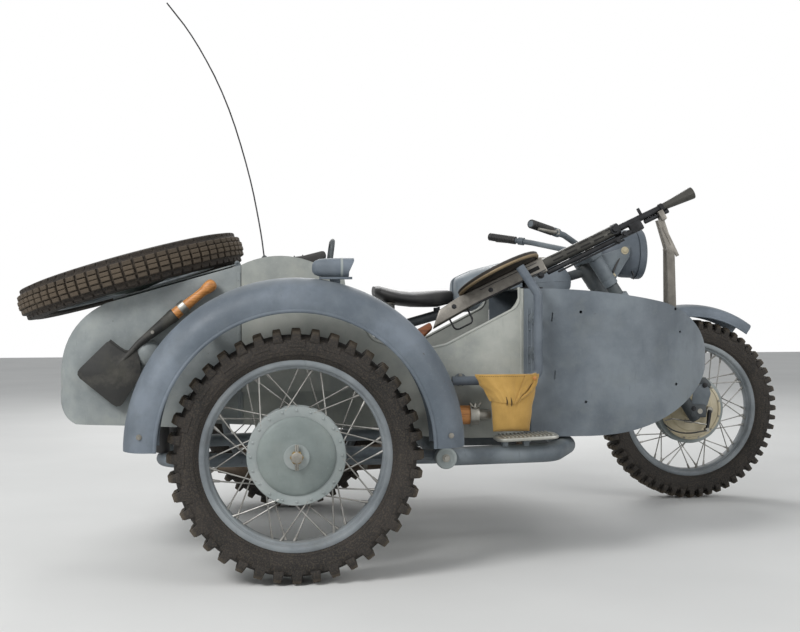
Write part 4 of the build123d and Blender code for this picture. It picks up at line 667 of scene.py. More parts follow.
def axle_nut_parts():
    """A slotted nut on the cover's boss, with the thick split pin through it bent up and down."""
    boss = [(-0.0464, 0.0), (-0.049, 0.0), (-0.049, 0.03), (-0.0484, 0.0335), (-0.0464, 0.0345)]
    nut = [(-0.049, 0.0), (-0.056, 0.0), (-0.056, 0.017), (-0.0552, 0.0182), (-0.049, 0.0182)]
    end = [(-0.0558, 0.0), (-0.0615, 0.0), (-0.0615, 0.0062), (-0.0606, 0.0078), (-0.0558, 0.0078)]
    castle = bmesh.new()
    slab(castle, (0.0085, -0.062, -0.0052), (0.016, -0.0556, 0.0052), bevel=0.0008)
    pin = bmesh.new()
    for offset in (-0.0026, 0.0026):
        tube(pin,
             [(offset, -0.057, -0.033), (offset, -0.0592, -0.018), (offset, -0.0592, 0.018),
              (offset, -0.057, 0.034)], 0.0024, sides=8)
    return [(ring_mesh(boss, 48, closed=False), HUB_PAINT), (ring_mesh(nut, 6, closed=False), NUT_STEEL),
            (repeated(castle, 6, NUT_STEEL, turn=60), NUT_STEEL),
            (ring_mesh(end, 24, closed=False), NUT_STEEL), (mesh_from(pin), BARE_STEEL)]


def wheel_parts(cover=True):
    parts = [(rim_mesh(), RIM_PAINT)] + hub_parts()
    for side in (-1, 1):
        for sense in (-1, 1):
            spokes = repeated(spoke_set(side, sense), SPOKES_PER_FLANGE // 2, SPOKE_STEEL,
                              turn=-2 * 360 / SPOKES_PER_FLANGE)
            parts.append((spokes, SPOKE_STEEL))
    parts.append((repeated(flange_rivet(), SPOKES_PER_FLANGE, HUB_PAINT, turn=360 / SPOKES_PER_FLANGE),
                  HUB_PAINT))
    return parts + axle_nut_parts() if cover else parts


# Tyres

def carcass_mesh(half_width, crown):
    """The tyre's plain body: beads, sidewalls with fine mould rings, and the crown between the lugs."""
    side = [(0.03, 0.244), (0.0335, 0.25), (0.035, 0.258), (0.0385, 0.2612), (0.0402, 0.2622),
            (0.0404, 0.264), (0.042, 0.2646), (0.0423, 0.2664), (half_width * 0.84, 0.27),
            (half_width * 0.855, 0.2704), (half_width * 0.87, 0.2728), (half_width * 0.9, 0.279),
            (half_width * 0.915, 0.2794), (half_width * 0.925, 0.2815), (half_width * 0.95, 0.29),
            (half_width * 0.94, 0.302), (half_width * 0.86, crown - 0.014),
            (half_width * 0.62, crown - 0.005), (half_width * 0.3, crown)]
    profile = [(-y, r) for y, r in side] + [(0.0, crown)] + list(reversed(side))
    return ring_mesh(profile[::-1], 144)


def lug(low, high, foot_taper=0.003, bevel=0.0016):
    """One block of rubber, between corners given as (angle offset as length, y, radius)."""
    bm = bmesh.new()
    (x0, y0, r0), (x1, y1, r1) = low, high
    foot = [(x0 - foot_taper, y0 - foot_taper), (x1 + foot_taper, y0 - foot_taper),
            (x1 + foot_taper, y1 + foot_taper), (x0 - foot_taper, y1 + foot_taper)]
    top = [(x0, y0), (x1, y0), (x1, y1), (x0, y1)]
    rings = [[bm.verts.new((r, y, x)) for x, y in outline] for outline, r in ((foot, r0), (top, r1))]
    grid_faces(bm, rings, closed_columns=True)
    bm.faces.new(rings[1])
    bm.faces.new(list(reversed(rings[0])))
    edges = [edge for edge in bm.edges if all(v in rings[1] for v in edge.verts)]
    bmesh.ops.bevel(bm, geom=edges, offset=bevel, segments=1, affect="EDGES")
    return bm


def shoulder_lug(half_width, tip, side, reach, length, splay=1.35):
    """A tall block on the tyre's shoulder, narrow at its tip and splayed down the sidewall."""
    section = [(0.68, tip - 0.0005, 0.9), (0.93, tip - 0.004, 0.86), (1.0, tip - 0.017, 1.0),
               (0.985, tip - reach, splay), (0.9, tip - reach - 0.003, splay), (0.66, tip - 0.022, 1.1)]
    bm = bmesh.new()
    near = [bm.verts.new((r, side * share * half_width, -length * wide / 2)) for share, r, wide in section]
    far = [bm.verts.new((r, side * share * half_width, length * wide / 2)) for share, r, wide in section]
    bm.faces.new(near)
    bm.faces.new(list(reversed(far)))
    grid_faces(bm, [near, far], closed_columns=True)
    bmesh.ops.bevel(bm, geom=bm.edges[:], offset=0.0018, segments=1, affect="EDGES")
    bmesh.ops.recalc_face_normals(bm, faces=bm.faces)
    return bm


def sidewall_pad(half_width, side, low, high, length):
    """The wide step that stands a little off the sidewall below a shoulder block."""
    y0, y1 = sorted((side * half_width * 0.86, side * half_width * 0.985))
    bm = bmesh.new()
    slab(bm, (low, y0, -length / 2), (high, y1, length / 2), bevel=0.003, segments=1)
    return bm


def turned(bm, degrees):
    bm.transform(Matrix.Rotation(math.radians(degrees), 4, "Y"))
    return bm


def knobbly_tyre_parts(half_width, rubber, count=20, size=1.0):
    """Trials tread: tall lugs on each shoulder, every other one with a wide step under it, and
    blocks between them in line, so that the gaps run right across."""
    tip = TYRE_RADIUS - 0.0005
    parts = [(carcass_mesh(half_width, tip - 0.017), rubber)]
    pitch = 360 / count
    for side in (-1, 1):
        for shift, reach, length in ((0, 0.04, 0.024), (pitch / 2, 0.031, 0.021)):
            shape = turned(shoulder_lug(half_width, tip - 0.003, side, reach, length * size), shift)
            parts.append((repeated(shape, count, rubber, turn=pitch), rubber))
            y0, y1 = sorted((side * 0.007, side * half_width * 0.55))
            half = length * size * 0.46
            block = turned(lug((-half, y0, tip - 0.019), (half, y1, tip)), shift)
            parts.append((repeated(block, count, rubber, turn=pitch), rubber))
        pad = sidewall_pad(half_width, side, tip - 0.051, tip - 0.03, 0.05 * size)
        parts.append((repeated(pad, count, rubber, turn=pitch), rubber))
    return parts


def block_tyre_parts(half_width, rubber):
    """Square-block tread in six rows, as on the spare."""
    tip = TYRE_RADIUS - 0.0005
    parts = [(carcass_mesh(half_width, tip - 0.01), rubber)]
    count = 64
    rows = [(-0.86, -0.62, 0.016), (-0.54, -0.3, 0.0045), (-0.24, -0.02, 0.001)]
    rows += [(-b, -a, drop) for a, b, drop in reversed(rows)]
    for inner, outer, drop in rows:
        shape = lug((-0.0125, inner * half_width, tip - drop - 0.013),
                    (0.0125, outer * half_width, tip - drop), foot_taper=0.0015)
        parts.append((repeated(shape, count, rubber, turn=360 / count), rubber))
    return parts


def build_wheels():
    about = Matrix.Rotation(math.radians(180), 4, "Z")
    for name, axle, turn, half_width, lugs in (
        ("front", FRONT_AXLE, about, 0.052, (28, 0.74)),
        ("rear", REAR_AXLE, about, 0.056, (20, 1.0)),
        ("sidecar", SIDECAR_AXLE, Matrix.Identity(4), 0.056, (20, 1.0)),
    ):
        body, place = name + "_wheel_body", Matrix.Translation(axle) @ turn
        make(name + "_wire_wheel", body, name + "_wheel", wheel_parts(name != "front"),
             matrix=place)
        make(name + "_lugged_tyre", body, name + "_tyre",
             knobbly_tyre_parts(half_width, TYRE_RUBBER, *lugs), matrix=place)
    place = (Matrix.Translation(SPARE_MIDDLE) @ Matrix.Rotation(-TRUNK_SLOPE, 4, "Y")
             @ Matrix.Rotation(math.radians(90), 4, "X"))
    make("spare_wire_wheel", "lid_body", "spare_wheel", wheel_parts(False), matrix=place)
    make("spare_block_tyre", "lid_body", "spare_tyre", block_tyre_parts(0.05, SPARE_RUBBER),
         matrix=place)


build_wheels()


# Sidecar body, its outlines as in the CAD but with fine curves

BODY_OUTER, BODY_INNER, BODY_WALL = -0.96, -0.43, 0.003
NOSE_SEAM, TRUNK_SEAM = 0.655, -0.15


def trunk_top(x):
    return 0.853 - (TRUNK_SEAM - x) * math.tan(TRUNK_SLOPE)


def fine_outline(rows, inset, count=14):
    """Rows are u, v, inward u, inward v and kind: a corner, or the middle of an arc."""
    points = [(u + iu * inset, v + iv * inset, kind) for u, v, iu, iv, kind in rows]
    outline = []
    for index, (u, v, kind) in enumerate(points):
        if kind == "arc":
            continue
        follow, beyond = points[(index + 1) % len(points)], points[(index + 2) % len(points)]
        if follow[2] == "arc":
            outline += arc_points((u, v), follow[:2], beyond[:2], count)[:-1]
        else:
            outline.append((u, v))
    return outline


def body_side(inset):
    rear = TRUNK_SEAM - 0.37
    return fine_outline([(-0.43, 0.406, 0, 1, "corner"), (0.5, 0.358, 0, 1, "corner"),
                         (0.85, 0.358, 0, 1, "corner"), (1.12, 0.424, -0.45, 0.9, "arc"),
                         (1.298, 0.566, -1, 0, "corner"), (1.222, 0.668, -0.7, -0.7, "arc"),
                         (1.075, 0.747, -0.3, -0.95, "corner"), (0.88, 0.777, 0, -1, "arc"),
                         (NOSE_SEAM, 0.786, 0, -1, "corner"), (0.106, 0.829, 0, -1, "corner"),
                         (-0.02, 0.878, 0, -1, "arc"), (TRUNK_SEAM, 0.853, 0, -1.04, "corner"),
                         (rear, trunk_top(rear), 0.3, -1.04, "corner"), (-0.622, 0.656, 0.95, -0.3, "arc"),
                         (-0.653, 0.508, 1, 0, "corner"), (-0.645, 0.444, 0.9, 0.4, "arc"),
                         (-0.605, 0.412, 0.2, 1, "corner"),], inset)


def body_plan(inset):
    centre = (BODY_OUTER + BODY_INNER) / 2
    return fine_outline([
        (-0.56, BODY_OUTER, 0, 1, "corner"), (0.9, BODY_OUTER, 0, 1, "corner"),
        (1.19, BODY_OUTER + 0.084, -0.5, 0.87, "arc"), (1.3, centre, -1, 0, "corner"),
        (1.19, BODY_INNER - 0.084, -0.5, -0.87, "arc"), (0.9, BODY_INNER, 0, -1, "corner"),
        (-0.56, BODY_INNER, 0, -1, "corner"), (-0.64, BODY_INNER - 0.04, 0.7, -0.7, "arc"),
        (-0.664, BODY_INNER - 0.11, 1, 0, "corner"), (-0.664, BODY_OUTER + 0.11, 1, 0, "corner"),
        (-0.64, BODY_OUTER + 0.04, 0.7, 0.7, "arc"),
    ], inset)


ORIGIN = Matrix.Translation((REAR_AXLE.x, REAR_AXLE.y, 0))


def body_form(inset):
    form = cut(prism_mesh(body_side(inset), -1.1, -0.3), prism_mesh(body_plan(inset), 0.2, 1.2, "Z"),
               "INTERSECT")
    form = soften(form, 0.016 - inset, 4, angle=38)
    reach = 0.3 + inset
    recess = slab_mesh((-reach, BODY_OUTER - 0.05, 0.2), (reach, BODY_OUTER + 0.13 + inset, 0.497 + inset),
                       0.01, segments=3)
    return cut(form, recess)


ENTRY = [(0.643, 1.0), (0.643, 0.736), (0.43, 0.626), (0.33, 0.604), (0.22, 0.64), (0.15, 0.74),
         (0.112, 1.0)]


def on_slope(x, y, lift):
    """Axes on the trunk's sloping top: X forward and up it, Z square to it."""
    up = Vector((-math.sin(TRUNK_SLOPE), 0, math.cos(TRUNK_SLOPE)))
    origin = Vector((x, y, trunk_top(x))) + up * lift
    return Matrix.Translation(origin) @ Matrix.Rotation(-TRUNK_SLOPE, 4, "Y")


def rounded_box(x0, x1, y0, y1, z0, z1, radius):
    """A plate with rounded corners seen from above."""
    outline = []
    for cx, cy, start in ((x1 - radius, y1 - radius, 0), (x0 + radius, y1 - radius, 90),
                          (x0 + radius, y0 + radius, 180), (x1 - radius, y0 + radius, 270)):
        outline += [(cx + radius * math.cos(math.radians(start + 15 * i)),
                     cy + radius * math.sin(math.radians(start + 15 * i))) for i in range(7)]
    return prism_mesh(outline, z0, z1, "Z")


def build_body():
    trim = body_trim()
    shell = cut(body_form(0), body_form(BODY_WALL))
    entry = soften(prism_mesh(ENTRY, -1.2, -0.2), 0.05, 4, angle=20)
    shell = cut(shell, entry)
    hole = rounded_box(-0.14, 0.15, -0.205, 0.205, -0.05, 0.05, 0.03)
    hole.transform(on_slope(-0.33, -0.695, 0))
    shell = cut(shell, hole)
    holes = bmesh.new()
    for x, z, radius in ((0.824, 0.718, 0.0045), (1.121, 0.726, 0.0045), (1.139, 0.658, 0.0035),
                         (1.124, 0.503, 0.0045), (0.839, 0.457, 0.0045), (0.47, 0.7, 0.003)):
        bmesh.ops.create_cone(holes, cap_ends=True, segments=20, radius1=radius, radius2=radius, depth=0.16,
                              matrix=Matrix.Translation((x, BODY_OUTER + 0.03,
                                                         z)) @ Matrix.Rotation(math.pi / 2, 4, "X"))
    for x, z, lean in ((0.739, 0.704, 0.1), (0.747, 0.536, 0.06)):
        slab(holes, (-0.0016, -0.05, -0.013), (0.0016, 0.05, 0.013),
             Matrix.Translation((x, BODY_OUTER + 0.03, z)) @ Matrix.Rotation(lean, 4, "Y"))
    shell = cut(shell, mesh_from(holes))
    gap = 0.0006
    for name, node, material, low, high in (
        ("nose_shell", "sidecar_nose", SHADED_NOSE_PAINT, NOSE_SEAM + gap, 2),
        ("tub_shell", "sidecar_tub", SUNLIT_TUB_PAINT, TRUNK_SEAM + gap, NOSE_SEAM - gap),
        ("trunk_shell", "sidecar_trunk", HALF_SUNLIT_TRUNK_PAINT, -2, TRUNK_SEAM - gap),
    ):
        mesh = cut(shell.copy(), slab_mesh((low, -1.2, 0.1), (high, -0.2, 1.4)), "INTERSECT")
        pieces = [(mesh, material)]
        if node == "sidecar_trunk":
            bulkhead = cut(body_form(0.0005), slab_mesh((TRUNK_SEAM - 0.003, -1.2, 0.1),
                                                       (TRUNK_SEAM - gap, -0.2, 1.4)), "INTERSECT")
            pieces.append((bulkhead, material))
        pieces += trim[node]
        make(name, "chassis", node, pieces, sharp=40, matrix=ORIGIN)


def body_trim():
    """Rolled entry edge, seam strips, rivets and the knocked-out bowl behind the mudguard."""
    trim = {"sidecar_tub": [], "sidecar_nose": [], "sidecar_trunk": []}
    edge = bend_points([(x, 0, z) for x, z in [(0.6415, 0.79)] + ENTRY[1:-1] + [(0.1145, 0.826)]], 0.045)
    for y in (BODY_OUTER + 0.0022, BODY_INNER - 0.0022):
        trim["sidecar_tub"].append((tube_mesh([(p.x, y, p.z) for p in edge], 0.0042, 10), SUNLIT_TUB_PAINT))
    for x in (0.6475, 0.6665, 0.678):
        strip = slab_mesh((x - 0.0028, BODY_OUTER - 0.002, 0.372), (x + 0.0028, BODY_OUTER + 0.001, 0.728),
                          0.001)
        node, paint = ("sidecar_tub", SUNLIT_TUB_PAINT) if x < NOSE_SEAM else ("sidecar_nose", SHADED_NOSE_PAINT)
        trim[node].append((strip, paint))
    for node, paint, x, z, radius, step in (("sidecar_nose", SHADED_NOSE_PAINT, 0.672, 0.385, 0.0034, 0.047),
                                            ("sidecar_trunk", HALF_SUNLIT_TRUNK_PAINT, -0.158, 0.46, 0.0036, 0.05)):
        rivet = bmesh.new()
        bmesh.ops.create_uvsphere(rivet, u_segments=10, v_segments=6, radius=radius,
                                  matrix=Matrix.Translation((x, BODY_OUTER + 0.0008, z)))
        trim[node].append((repeated(rivet, 8, paint, step=(0, 0, step)), paint))
    seam = slab_mesh((TRUNK_SEAM - 0.0105, BODY_OUTER - 0.0018, 0.42),
                     (TRUNK_SEAM - 0.0016, BODY_OUTER + 0.001, 0.832), 0.0008)
    trim["sidecar_trunk"].append((seam, HALF_SUNLIT_TRUNK_PAINT))
    bowl = bmesh.new()
    middle_of_bowl = Matrix.Translation((-0.404, BODY_OUTER + 0.002, 0.607))
    lean_and_size = Matrix.Rotation(math.radians(35), 4, "Y") @ Matrix.Diagonal((0.046, 0.034, 0.036, 1))
    bmesh.ops.create_uvsphere(bowl, u_segments=32, v_segments=16, radius=1.0,
                              matrix=middle_of_bowl @ lean_and_size)
    trim["sidecar_trunk"].append((mesh_from(bowl), HALF_SUNLIT_TRUNK_PAINT))
    return trim


def round_guard(profile, start, turn, place, thick=0.003):
    """A mudguard of sheet about the Y axis, from the outer profile of (y, radius)."""
    inner = []
    for index, (y, r) in enumerate(profile):
        before, after = profile[max(index - 1, 0)], profile[min(index + 1, len(profile) - 1)]
        along = Vector((after[0] - before[0], after[1] - before[1])).normalized()
        inner.append((y + along.y * thick, r - along.x * thick))
    return ring_mesh(profile + inner[::-1], 90, start=start, turn=turn, matrix=place)


def smooth_profile(points, passes=2):
    """Corners cut, ends kept."""
    for _ in range(passes):
        finer = [points[0]]
        for a, b in zip(points, points[1:]):
            finer += [(a[0] * 0.75 + b[0] * 0.25, a[1] * 0.75 + b[1] * 0.25),
                      (a[0] * 0.25 + b[0] * 0.75, a[1] * 0.25 + b[1] * 0.75)]
        points = finer + [points[-1]]
    return points


def ring_bead(radius, y, size, start, turn, place):
    """A round bead along a mudguard's edge."""
    profile = [(y + size * math.cos(a), radius + size * math.sin(a)) for a in
               (2 * math.pi * k / 10 for k in range(10))]
    return ring_mesh(profile, 90, start=start, turn=turn, matrix=place)


def bolt(place, outward, head=0.007, height=0.005, washer=0.01):
    """A hexagon head on its washer."""
    turn = Vector((0, 0, 1)).rotation_difference(Vector(outward)).to_matrix().to_4x4()
    matrix = Matrix.Translation(place) @ turn
    bm = bmesh.new()
    bmesh.ops.create_cone(bm, cap_ends=True, segments=16, radius1=washer, radius2=washer * 0.95,
                          depth=0.0016, matrix=matrix @ Matrix.Translation((0, 0, 0.0008)))
    bmesh.ops.create_cone(bm, cap_ends=True, segments=6, radius1=head, radius2=head * 0.9, depth=height,
                          matrix=matrix @ Matrix.Translation((0, 0, 0.0016 + height / 2)))
    return bm


def bolts_mesh(places, outward, head=0.007, height=0.005):
    whole = bmesh.new()
    for place in places:
        whole.from_mesh(mesh_from(bolt(place, outward, head, height, head * 1.5)))
    return mesh_from(whole, "bolts", recalc=False)


GUARD_CENTRE, GUARD_CROWN = 0.362, 0.453


def build_guards():
    """The sidecar's mudguard with its stays, and the front and rear ones."""
    centre = Matrix.Translation((SIDECAR_AXLE.x, REAR_AXLE.y, GUARD_CENTRE))
    outer, inner, lip, crown = -1.21, -1.044, 0.362, GUARD_CROWN
    profile = [(outer, lip), (outer, lip + 0.036), (outer + 0.014, crown - 0.028),
               (outer + 0.048, crown - 0.004), (outer + 0.09, crown), (inner - 0.03, crown - 0.004),
               (inner - 0.002, crown - 0.02), (inner, lip + 0.006)]
    shell = round_guard(smooth_profile(profile), 0, 180, centre)
    bead = ring_bead(lip + 0.0015, outer + 0.0015, 0.0052, 0, 180, centre)
    stays = bmesh.new()
    for angle in (20, 80, 128):
        x, z = 0.423 * math.cos(math.radians(angle)), GUARD_CENTRE + 0.423 * math.sin(math.radians(angle))
        tube(stays, [at(x, inner, z), at(x, BODY_OUTER - 0.0005, z)], 0.009, sides=16)
        for y in (inner + 0.002, BODY_OUTER - 0.006):
            facing = Matrix.Translation(at(x, y, z)) @ Matrix.Rotation(math.pi / 2, 4, "X")
            bmesh.ops.create_cone(stays, cap_ends=True, segments=20, radius1=0.019, radius2=0.017,
                                  depth=0.004, matrix=facing)
    heads = bolts_mesh([at(0.405, -1.209, 0.396), at(-0.402, -1.209, 0.404)], (0, -1, 0), 0.005, 0.003)
    make("sidecar_wheel_mudguard", "chassis", "sidecar_mudguard",
         [(shell, GUARD_PAINT), (bead, GUARD_PAINT), (mesh_from(stays), TUBE_PAINT), (heads, BARE_STEEL)])

    for name, node, body, axle, half, radius, start, turn in (
        ("front_wheel_mudguard", "front_mudguard", "steering", FRONT_AXLE, 0.068, 0.398, 54, 126),
        ("rear_wheel_mudguard", "rear_mudguard", "chassis", REAR_AXLE, 0.072, 0.388, 42, 158),
    ):
        skirt = 0.046
        side = [(half, radius - skirt), (half, radius - skirt * 0.45), (half * 0.8, radius - skirt * 0.14),
                (half * 0.4, radius - 0.001)]
        profile = [(-y, r) for y, r in side] + [(y, r) for y, r in reversed(side)]
        place = Matrix.Translation(axle)
        meshes = [(round_guard(smooth_profile(profile), start, turn, place), GUARD_PAINT)]
        for y in (-half + 0.001, half - 0.001):
            meshes.append((ring_bead(radius - skirt + 0.001, y, 0.0034, start, turn, place), GUARD_PAINT))
        make(name, body, node, meshes)


build_body()
build_guards()


# Front end, drawn along the steering axis

AXLE_HEIGHT = 0.34
RAKE = math.radians(33)
STEER_X = 1.455576
LEG_X = 1.483


def on_steering(along, y=0.0):
    """A place on the steering axis, a distance up it from the axle's height."""
    return at(STEER_X - along * math.sin(RAKE), y, AXLE_HEIGHT + along * math.cos(RAKE))


def on_leg(along, y):
    """The same on the line of the fork legs."""
    return at(LEG_X - along * math.sin(RAKE), y, AXLE_HEIGHT + along * math.cos(RAKE))


STEER_UP = Vector((-math.sin(RAKE), 0, math.cos(RAKE)))


def side_shape(points, y_low, y_high, edge=0.002, segments=2):
    """A plate from points seen from the side, its edges softened."""
    mesh = soften(prism_mesh([(x, z) for x, z in points], *sorted((y_low, y_high))), edge, segments, 25)
    mesh.transform(ORIGIN)
    return mesh


def build_fork():
    """Sliders in their shrouds, both yokes, the axle, and the ears that hold the lamp."""
    slider = [(0.0, 0.0), (0.0, 0.012), (0.002, 0.019), (0.01, 0.0227), (0.5985, 0.0227)]
    shroud = [(0.0, 0.023), (0.001, 0.0266), (0.003, 0.027), (0.022, 0.027), (0.024, 0.0262),
              (0.028, 0.0262), (0.03, 0.027), (0.146, 0.027), (0.15, 0.0255), (0.1518, 0.019),
              (0.1518, 0.0)]
    meshes = []
    for side in (-1, 1):
        y = side * 0.107
        meshes.append((lathe_mesh(slider, on_leg(-0.04, y), STEER_UP, 40), DARK_PAINT))
        meshes.append((lathe_mesh(shroud, on_leg(0.56, y), STEER_UP, 40), TUBE_PAINT))
        for along, length in ((0.3, 0.016), (0.372, 0.012)):
            collar = [(0.0, 0.0226), (0.001, 0.025), (length - 0.001, 0.025), (length, 0.0226)]
            meshes.append((lathe_mesh(collar, on_leg(along, y), STEER_UP, 40), BARE_STEEL))
        low, high = at(1.4752, y - 0.0226, 0.3164), at(1.5358, y + 0.0226, 0.3636)
        meshes.append((slab_mesh(low, high, 0.005, segments=3), DARK_PAINT))
        blade = [(1.478, 0.352), (1.487, 0.406), (1.516, 0.446), (1.548, 0.437), (1.556, 0.404),
                 (1.543, 0.362), (1.519, 0.334), (1.5, 0.336)]
        meshes.append((side_shape(blade, side * 0.115, side * 0.121, 0.0024), TUBE_PAINT))
        cap = [(1.503, 0.44), (1.512, 0.462), (1.534, 0.466), (1.556, 0.44), (1.553, 0.423), (1.53, 0.442)]
        meshes.append((side_shape(cap, side * 0.114, side * 0.124, 0.003), DARK_PAINT))
        meshes.append((bolts_mesh([at(1.531, side * 0.1236, 0.436), at(1.486, side * 0.1292, 0.35)],
                                  (0, side, 0), 0.0065, 0.004), DARK_STEEL))
        stay = on_leg(0.3516, y)
        meshes.append((tube_mesh([(stay.x, REAR_AXLE.y + side * 0.0683, stay.z), stay], 0.0088, 16),
                       TUBE_PAINT))
        ear = [(1.161, 0.827), (1.195, 0.833), (1.249, 0.918), (1.253, 0.938), (1.249, 0.956),
               (1.112, 0.912)]
        meshes.append((side_shape(ear, side * 0.0932, side * 0.1008, 0.0018), TUBE_PAINT))
        lip = tube_mesh([at(x, side * 0.1, z) for x, z in ((1.195, 0.8335), (1.2485, 0.918))], 0.002, 8)
        meshes.append((lip, TUBE_PAINT))
    meshes.append((tube_mesh([at(1.51, -0.131, 0.34), at(1.51, 0.131, 0.34)], 0.0098, 24), BARE_STEEL))
    meshes.append((tube_mesh([on_steering(0.479), on_steering(0.665)], 0.0139, 24), BARE_STEEL))
    half = [(-0.025, 0.0145), (-0.0145, 0.025), (-0.01, 0.109), (0.005, 0.1388), (0.041, 0.1388),
            (0.0558, 0.121), (0.0558, 0.08), (0.035, 0.04)]
    for along in (0.474, 0.66):
        yoke = soften(prism_mesh(half + [(u, -v) for u, v in reversed(half)], 0, 0.026, "Z"), 0.005, 3, 22)
        yoke.transform(Matrix.Translation(on_steering(along)) @ Matrix.Rotation(-RAKE, 4, "Y"))
        meshes.append((yoke, TUBE_PAINT))
    for side in (-1, 1):
        nut = lathe_mesh([(0.0, 0.0), (0.0, 0.015), (0.008, 0.015), (0.01, 0.013), (0.0105, 0.0)],
                         on_leg(0.7117, side * 0.107), STEER_UP, 24)
        meshes.append((nut, BARE_STEEL))
        washer = lathe_mesh([(0.0, 0.0), (0.0, 0.0145), (0.0022, 0.014), (0.0022, 0.0)],
                            at(1.2314, side * 0.1008, 0.938), (0, side, 0), 28)
        meshes.append((washer, CREAM_PAINT))
        dome = lathe_mesh([(0.0, 0.0), (0.0, 0.0085), (0.003, 0.0082), (0.0042, 0.0055), (0.0046, 0.0)],
                          at(1.2314, side * 0.1028, 0.938), (0, side, 0), 24)
        meshes.append((dome, CREAM_PAINT))
    make("front_fork", "steering", "fork", meshes, sharp=38)


def build_brake_plate():
    plate = [(-0.0352, 0.0103), (-0.0352, 0.1165), (-0.041, 0.1165), (-0.0425, 0.1145), (-0.0432, 0.108),
             (-0.04, 0.105), (-0.04, 0.085), (-0.0438, 0.08), (-0.0438, 0.05), (-0.047, 0.038),
             (-0.07, 0.03), (-0.083, 0.023), (-0.0835, 0.0103)]
    meshes = [(ring_mesh(plate, 96, matrix=Matrix.Translation(FRONT_AXLE)), CREAM_PAINT)]
    pivot = lathe_mesh([(0.0, 0.0), (0.0, 0.013), (0.026, 0.013), (0.028, 0.0115), (0.0285, 0.0)],
                       at(1.572, -0.043, 0.337), (0, -1, 0), 24)
    lever = [at(1.572, -0.068, 0.337), at(1.566, -0.072, 0.3), at(1.559, -0.074, 0.264)]
    meshes += [(pivot, BARE_STEEL), (tube_mesh(lever, [0.0085, 0.007, 0.006], 12), DARK_STEEL)]
    yoke_end = lathe_mesh(drum(0.008, 0.018), at(1.558, -0.064, 0.264), (0, -1, 0), 16)
    meshes.append((yoke_end, BARE_STEEL))
    rod = [at(1.556, -0.076, 0.284), at(1.424, -0.077, 0.308), at(1.4, -0.06, 0.3)]
    cable = [at(1.556, -0.08, 0.262), at(1.48, -0.082, 0.25), at(1.424, -0.079, 0.262),
             at(1.396, -0.07, 0.286)]
    meshes.append((tube_mesh(rod, 0.003, 8), BARE_STEEL))
    meshes.append((tube_mesh(cable, 0.0026, 8, smooth=2), DARK_STEEL))
    meshes.append((tube_mesh([at(1.5, -0.0765, 0.2945), at(1.47, -0.0768, 0.2995)], 0.0055, 12),
                   BARE_STEEL))
    places = [at(1.51 + 0.1115 * math.cos(a), -0.043, 0.34 + 0.1115 * math.sin(a))
              for a in (math.radians(15 + 30 * k) for k in range(12))]
    meshes.append((bolts_mesh(places, (0, -1, 0), 0.003, 0.002), BARE_STEEL))
    make("front_drum_plate", "steering", "front_brake_plate", meshes)


def build_head_lamp():
    rear = 1.1444
    profile = [(0.0, 0.0), (0.0008, 0.02), (0.004, 0.034), (0.014, 0.049), (0.03, 0.0615), (0.05, 0.071),
               (0.072, 0.079), (0.096, 0.088), (0.106, 0.09), (0.1475, 0.0918), (0.148, 0.0895),
               (0.15, 0.0895), (0.1505, 0.0955), (0.157, 0.096), (0.172, 0.0958), (0.1768, 0.093),
               (0.177, 0.088), (0.1745, 0.0862)]
    shell = lathe_mesh(profile, at(rear, 0, 0.93), (1, 0, 0), 64)
    glass = lathe_mesh([(0.0, 0.0866), (0.004, 0.07), (0.0075, 0.048), (0.0095, 0.024), (0.01, 0.0)],
                       at(rear + 0.1755, 0, 0.93), (1, 0, 0), 64)
    switch = lathe_mesh([(0.0, 0.0), (0.0, 0.014), (0.006, 0.013), (0.008, 0.0)],
                        at(rear + 0.07, 0.0, 1.007), (-0.25, 0, 1), 20)
    catch = tube_mesh([at(1.27, -0.056, 0.869), at(1.2765, -0.059, 0.852), at(1.2775, -0.059, 0.831)],
                      [0.0045, 0.0035, 0.0015], 10)
    lead = [at(1.239, -0.0935, 0.931), at(1.218, -0.0955, 0.918), at(1.201, -0.101, 0.893),
            at(1.189, -0.104, 0.866), at(1.184, -0.102, 0.85)]
    plug = tube_mesh([at(1.1845, -0.1005, 0.853), at(1.195, -0.096, 0.844)], [0.006, 0.0062], 12)
    make("head_lamp", "steering", "headlamp", [
        (shell, LAMP_PAINT), (glass, GLASS_WITH_PAINTED_REFLECTION), (switch, DARK_STEEL), (catch, DARK_STEEL),
        (tube_mesh(lead, 0.0036, 10, smooth=2), SADDLE_RUBBER), (plug, CREAM_PAINT)], sharp=42)


